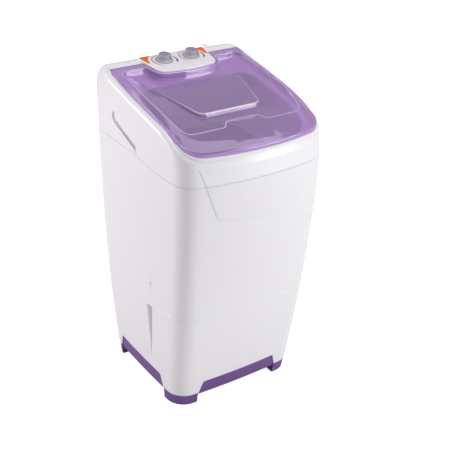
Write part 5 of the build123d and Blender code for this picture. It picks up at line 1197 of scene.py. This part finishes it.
def turned_loops(x, profile, ribs=0):
    """Loops of a turned shape on the panel, with ribs round its waist."""
    origin, back, up = knob_frame(x)
    angles = np.linspace(0, 2 * math.pi, ROUND_COLUMNS, endpoint=False)
    loops = []
    for radius, height in profile:
        reach = np.full(ROUND_COLUMNS, max(radius, LEAST_RADIUS))
        if ribs and RIB_SPAN[0] < height < RIB_SPAN[1] and radius > RIB_FROM:
            reach = reach - RIB_DEPTH * (0.5 + 0.5 * np.cos(ribs * angles)) ** 2
        loops.append(
            origin + np.outer(reach * np.cos(angles), (1, 0, 0))
            + np.outer(reach * np.sin(angles), back) + height * up)
    return loops


def build_knobs():
    """Both knobs with a wide skirt, a ribbed waist and a cap let into the top."""
    for name, x in KNOBS:
        loop_piece(f"{name}_body", turned_loops(x, KNOB_PROFILE, KNOB_RIBS), name, "knob_grey",
                   [name], wrap=True)
        loop_piece(f"{name}_top", turned_loops(x, CAP_PROFILE), name, "mauve_cap",
                   [f"{name}_cap"], ends=(True, True))


def build_dials():
    """Printed arcs round the knobs, and the pointer line on the side of each knob."""
    for name, x in KNOBS:
        origin, back, up = knob_frame(x)
        right = np.array((1, 0, 0))
        for number, (radius, start, end, first, last) in enumerate(DIAL_ARCS):
            rungs = []
            for share in np.linspace(0, 1, ARC_ROWS):
                angle = math.radians(between(start, end, share))
                away = right * math.cos(angle) + back * math.sin(angle)
                half = between(first, last, share) / 2
                rungs.append(np.array([origin + away * (radius + across * half) + up * height
                                       for across, height in DIAL_SECTION]))
            loop_piece(f"{name}_arc_{number}", rungs, "machine", "dark_print",
                       ["dial_markings"] if x < 0 and not number else (), (True, True))
        away = right * math.cos(POINTER_ANGLE) + back * math.sin(POINTER_ANGLE)
        along = back * math.cos(POINTER_ANGLE) - right * math.sin(POINTER_ANGLE)
        rungs = [
            np.array([origin + away * (radius + out) + along * place + up * height
                      for out, place in POINTER_SECTION])
            for radius, height in POINTER_PROFILE]
        loop_piece(f"{name}_pointer", rungs, name, "dark_print", ends=(True, True))


# Materials of the parts, lights and camera

def build_finishes(finish):
    """One material for each finish in the record, put on every part that has it."""
    moulded_group()
    worn_group()
    plastic("white_shell", finish.shell, 0.34, coat=0.35, grain=0.03, mottle=0.02)
    plastic("white_panel", (0.86, 0.85, 0.87), 0.22, coat=0.5, grain=0.02, mottle=0.01)
    plastic("purple_base", finish.base, 0.42, coat=0.1, grain=0.12, mottle=0.08)
    tinted("lavender_clear", finish.lid, finish.lid_edge_highlight, finish.lid_clear)
    plastic("tub_plastic", (0.46, 0.31, 0.64), 0.32, coat=0.2, mottle=0.03)
    plastic("lilac_plastic", (0.47, 0.33, 0.62), 0.34, coat=0.2, mottle=0.05)
    _, shader = plastic("orange_inlay", finish.inlay, 0.5, grain=0.02, mottle=0.02, bevel=0)
    shader.inputs["Specular IOR Level"].default_value = 0.15
    plastic("dark_print", (0.035, 0.008, 0.09), 0.4, grain=0.02, mottle=0.05, bevel=0)
    plastic("knob_grey", (0.42, 0.39, 0.44), 0.26, coat=0.6, grain=0.02, mottle=0.05, bevel=0.3)
    plastic("mauve_cap", finish.cap, 0.3, coat=0.5, grain=0.02, mottle=0.04, bevel=0.3)
    plastic("grey_plastic", (0.30, 0.30, 0.32), 0.45, grain=0.15, mottle=0.08)
    plastic("grey_hose", (0.36, 0.36, 0.38), 0.5, grain=0.2, mottle=0.1)
    plastic("black_rubber", (0.02, 0.02, 0.022), 0.7, grain=0.3, mottle=0.2, grain_size=500.0)
    metal("steel", (0.55, 0.55, 0.57), 0.28, 0.2, line_size=220.0)
    metal("zinc_plate", (0.60, 0.60, 0.56), 0.34, 0.35, stain_colour=(0.45, 0.42, 0.30))
    metal("iron", (0.10, 0.10, 0.11), 0.6, 0.5, 0.4, stain_colour=(0.16, 0.09, 0.05))
    metal("cast_metal", (0.45, 0.45, 0.46), 0.5, 0.4, 0.9)
    metal("bronze", (0.60, 0.38, 0.16), 0.35, 0.3, stain_colour=(0.20, 0.11, 0.05))
    for row in frame["record"]["subparts"]:
        node = frame["nodes"][row["node"]]
        node.data.materials.clear()
        node.data.materials.append(bpy.data.materials[row["material_slot"]])


def area_light(name, place, target, size, power, colour):
    """Soft rectangular light aimed at a place."""
    data = bpy.data.lights.new(name, "AREA")
    data.shape = "RECTANGLE"
    data.size, data.size_y = size
    data.energy = power
    data.color = colour
    light = bpy.data.objects.new(name, data)
    bpy.context.scene.collection.objects.link(light)
    aim(light, place, target)


def aim(item, place, target):
    """Puts a light or the camera at a place, looking at a target."""
    item.location = place
    item.rotation_euler = (Vector(target) - Vector(place)).to_track_quat("-Z", "Y").to_euler()


def build_stage():
    """Pale floor, white surroundings, soft lights and the photograph's camera."""
    scene = bpy.context.scene
    scene.view_settings.view_transform = "Standard"
    corners = rectangle(-FLOOR_HALF, FLOOR_HALF, -FLOOR_HALF, FLOOR_HALF)
    floor = mesh_object("floor", at_height(corners, np.zeros(4)), [(0, 1, 2, 3)])
    paper, shader = fresh_material("floor_paper")
    for entry, value in (("Base Color", (0.85, 0.85, 0.85, 1)), ("Roughness", 0.9),
                         ("Specular IOR Level", 0.0), ("Emission Color", (1, 1, 1, 1))):
        shader.inputs[entry].default_value = value
    path = add_node(paper.node_tree, "LightPath")
    glow = add_node(paper.node_tree, "Math", {1: FLOOR_GLOW}, operation="MULTIPLY")
    wire(paper.node_tree, (path, "Is Camera Ray", glow, 0),
         (glow, 0, shader, "Emission Strength"))
    floor.data.materials.append(paper)
    world = bpy.data.worlds.new("studio")
    scene.world = world
    world.use_nodes = True
    tree = world.node_tree
    light = tree.nodes["Background"]
    light.inputs["Color"].default_value = WORLD_COLOUR
    light.inputs["Strength"].default_value = WORLD_LIGHT
    seen = add_node(tree, "Background", {"Color": (1, 1, 1, 1)})
    path = add_node(tree, "LightPath")
    mix = add_node(tree, "MixShader")
    wire(tree, (path, "Is Camera Ray", mix, "Fac"), (light, "Background", mix, 1),
         (seen, "Background", mix, 2), (mix, "Shader", tree.nodes["World Output"], "Surface"))
    for light in LIGHTS:
        area_light(*light)
    data = bpy.data.cameras.new("camera")
    data.lens = CAMERA_LENS
    data.sensor_width = CAMERA_SENSOR
    data.shift_x = CAMERA_SHIFT
    data.dof.use_dof = False
    camera = bpy.data.objects.new("camera", data)
    scene.collection.objects.link(camera)
    aim(camera, CAMERA_PLACE, CAMERA_TARGET)
    scene.camera = camera


# Operators

class WASHER_OT_finishes(bpy.types.Operator):
    """Makes the finishes and puts them on the working parts"""
    bl_idname = "washer.finishes"
    bl_label = "Finishes"

    def execute(self, context):
        build_finishes(context.scene.washer_finish)
        return {"FINISHED"}


class WASHER_OT_cabinet(bpy.types.Operator):
    """Builds the cabinet shell with its legs, recesses and inner ledges"""
    bl_idname = "washer.cabinet"
    bl_label = "Cabinet"

    def execute(self, context):
        build_cabinet(context.scene.washer_sizes)
        return {"FINISHED"}


class WASHER_OT_shield(bpy.types.Operator):
    """Builds the raised shield on the front"""
    bl_idname = "washer.shield"
    bl_label = "Front shield"

    def execute(self, context):
        build_shield(context.scene.washer_sizes)
        return {"FINISHED"}


class WASHER_OT_top_cover(bpy.types.Operator):
    """Builds the top cover with its lid seat, tub mouth and hand grips"""
    bl_idname = "washer.top_cover"
    bl_label = "Top cover"

    def execute(self, context):
        build_top_cover(context.scene.washer_sizes)
        return {"FINISHED"}


class WASHER_OT_pod(bpy.types.Operator):
    """Builds the control pod under the panel"""
    bl_idname = "washer.pod"
    bl_label = "Control pod"

    def execute(self, context):
        build_pod()
        return {"FINISHED"}


class WASHER_OT_lid(bpy.types.Operator):
    """Builds the clear lid"""
    bl_idname = "washer.lid"
    bl_label = "Lid"

    def execute(self, context):
        build_lid()
        return {"FINISHED"}


class WASHER_OT_knobs(bpy.types.Operator):
    """Builds the timer and selector knobs"""
    bl_idname = "washer.knobs"
    bl_label = "Knobs"

    def execute(self, context):
        build_knobs()
        return {"FINISHED"}


class WASHER_OT_dials(bpy.types.Operator):
    """Builds the printed dials and the knobs' pointer lines"""
    bl_idname = "washer.dials"
    bl_label = "Dials"

    def execute(self, context):
        build_dials()
        return {"FINISHED"}


class WASHER_OT_stage(bpy.types.Operator):
    """Sets up the floor, the lights and the camera"""
    bl_idname = "washer.stage"
    bl_label = "Stage"

    def execute(self, context):
        build_stage()
        return {"FINISHED"}


class WASHER_PT_parts(bpy.types.Panel):
    """Lists the washing machine's pieces and finishes"""
    bl_idname = "WASHER_PT_parts"
    bl_label = "Washing machine"
    bl_space_type = "VIEW_3D"
    bl_region_type = "UI"
    bl_category = "Washer"

    def draw(self, context):
        layout = self.layout
        for operator in OPERATORS:
            layout.operator(operator.bl_idname)
        for group in (context.scene.washer_finish, context.scene.washer_sizes):
            for name in group.bl_rna.properties.keys()[2:]:
                layout.prop(group, name)


OPERATORS = (
    WASHER_OT_finishes, WASHER_OT_cabinet, WASHER_OT_shield, WASHER_OT_top_cover, WASHER_OT_pod,
    WASHER_OT_lid, WASHER_OT_knobs, WASHER_OT_dials, WASHER_OT_stage)
CLASSES = (WasherFinish, WasherSizes, *OPERATORS, WASHER_PT_parts)


def register():
    for item in CLASSES:
        bpy.utils.register_class(item)
    bpy.types.Scene.washer_finish = PointerProperty(type=WasherFinish)
    bpy.types.Scene.washer_sizes = PointerProperty(type=WasherSizes)


def unregister():
    del bpy.types.Scene.washer_finish
    del bpy.types.Scene.washer_sizes
    for item in reversed(CLASSES):
        bpy.utils.unregister_class(item)


def main():
    register()
    bpy.ops.washer.finishes()
    bpy.ops.washer.cabinet()
    bpy.ops.washer.shield()
    bpy.ops.washer.top_cover()
    bpy.ops.washer.pod()
    bpy.ops.washer.lid()
    bpy.ops.washer.knobs()
    bpy.ops.washer.dials()
    bpy.ops.washer.stage()


if __name__ == "__main__":
    main()
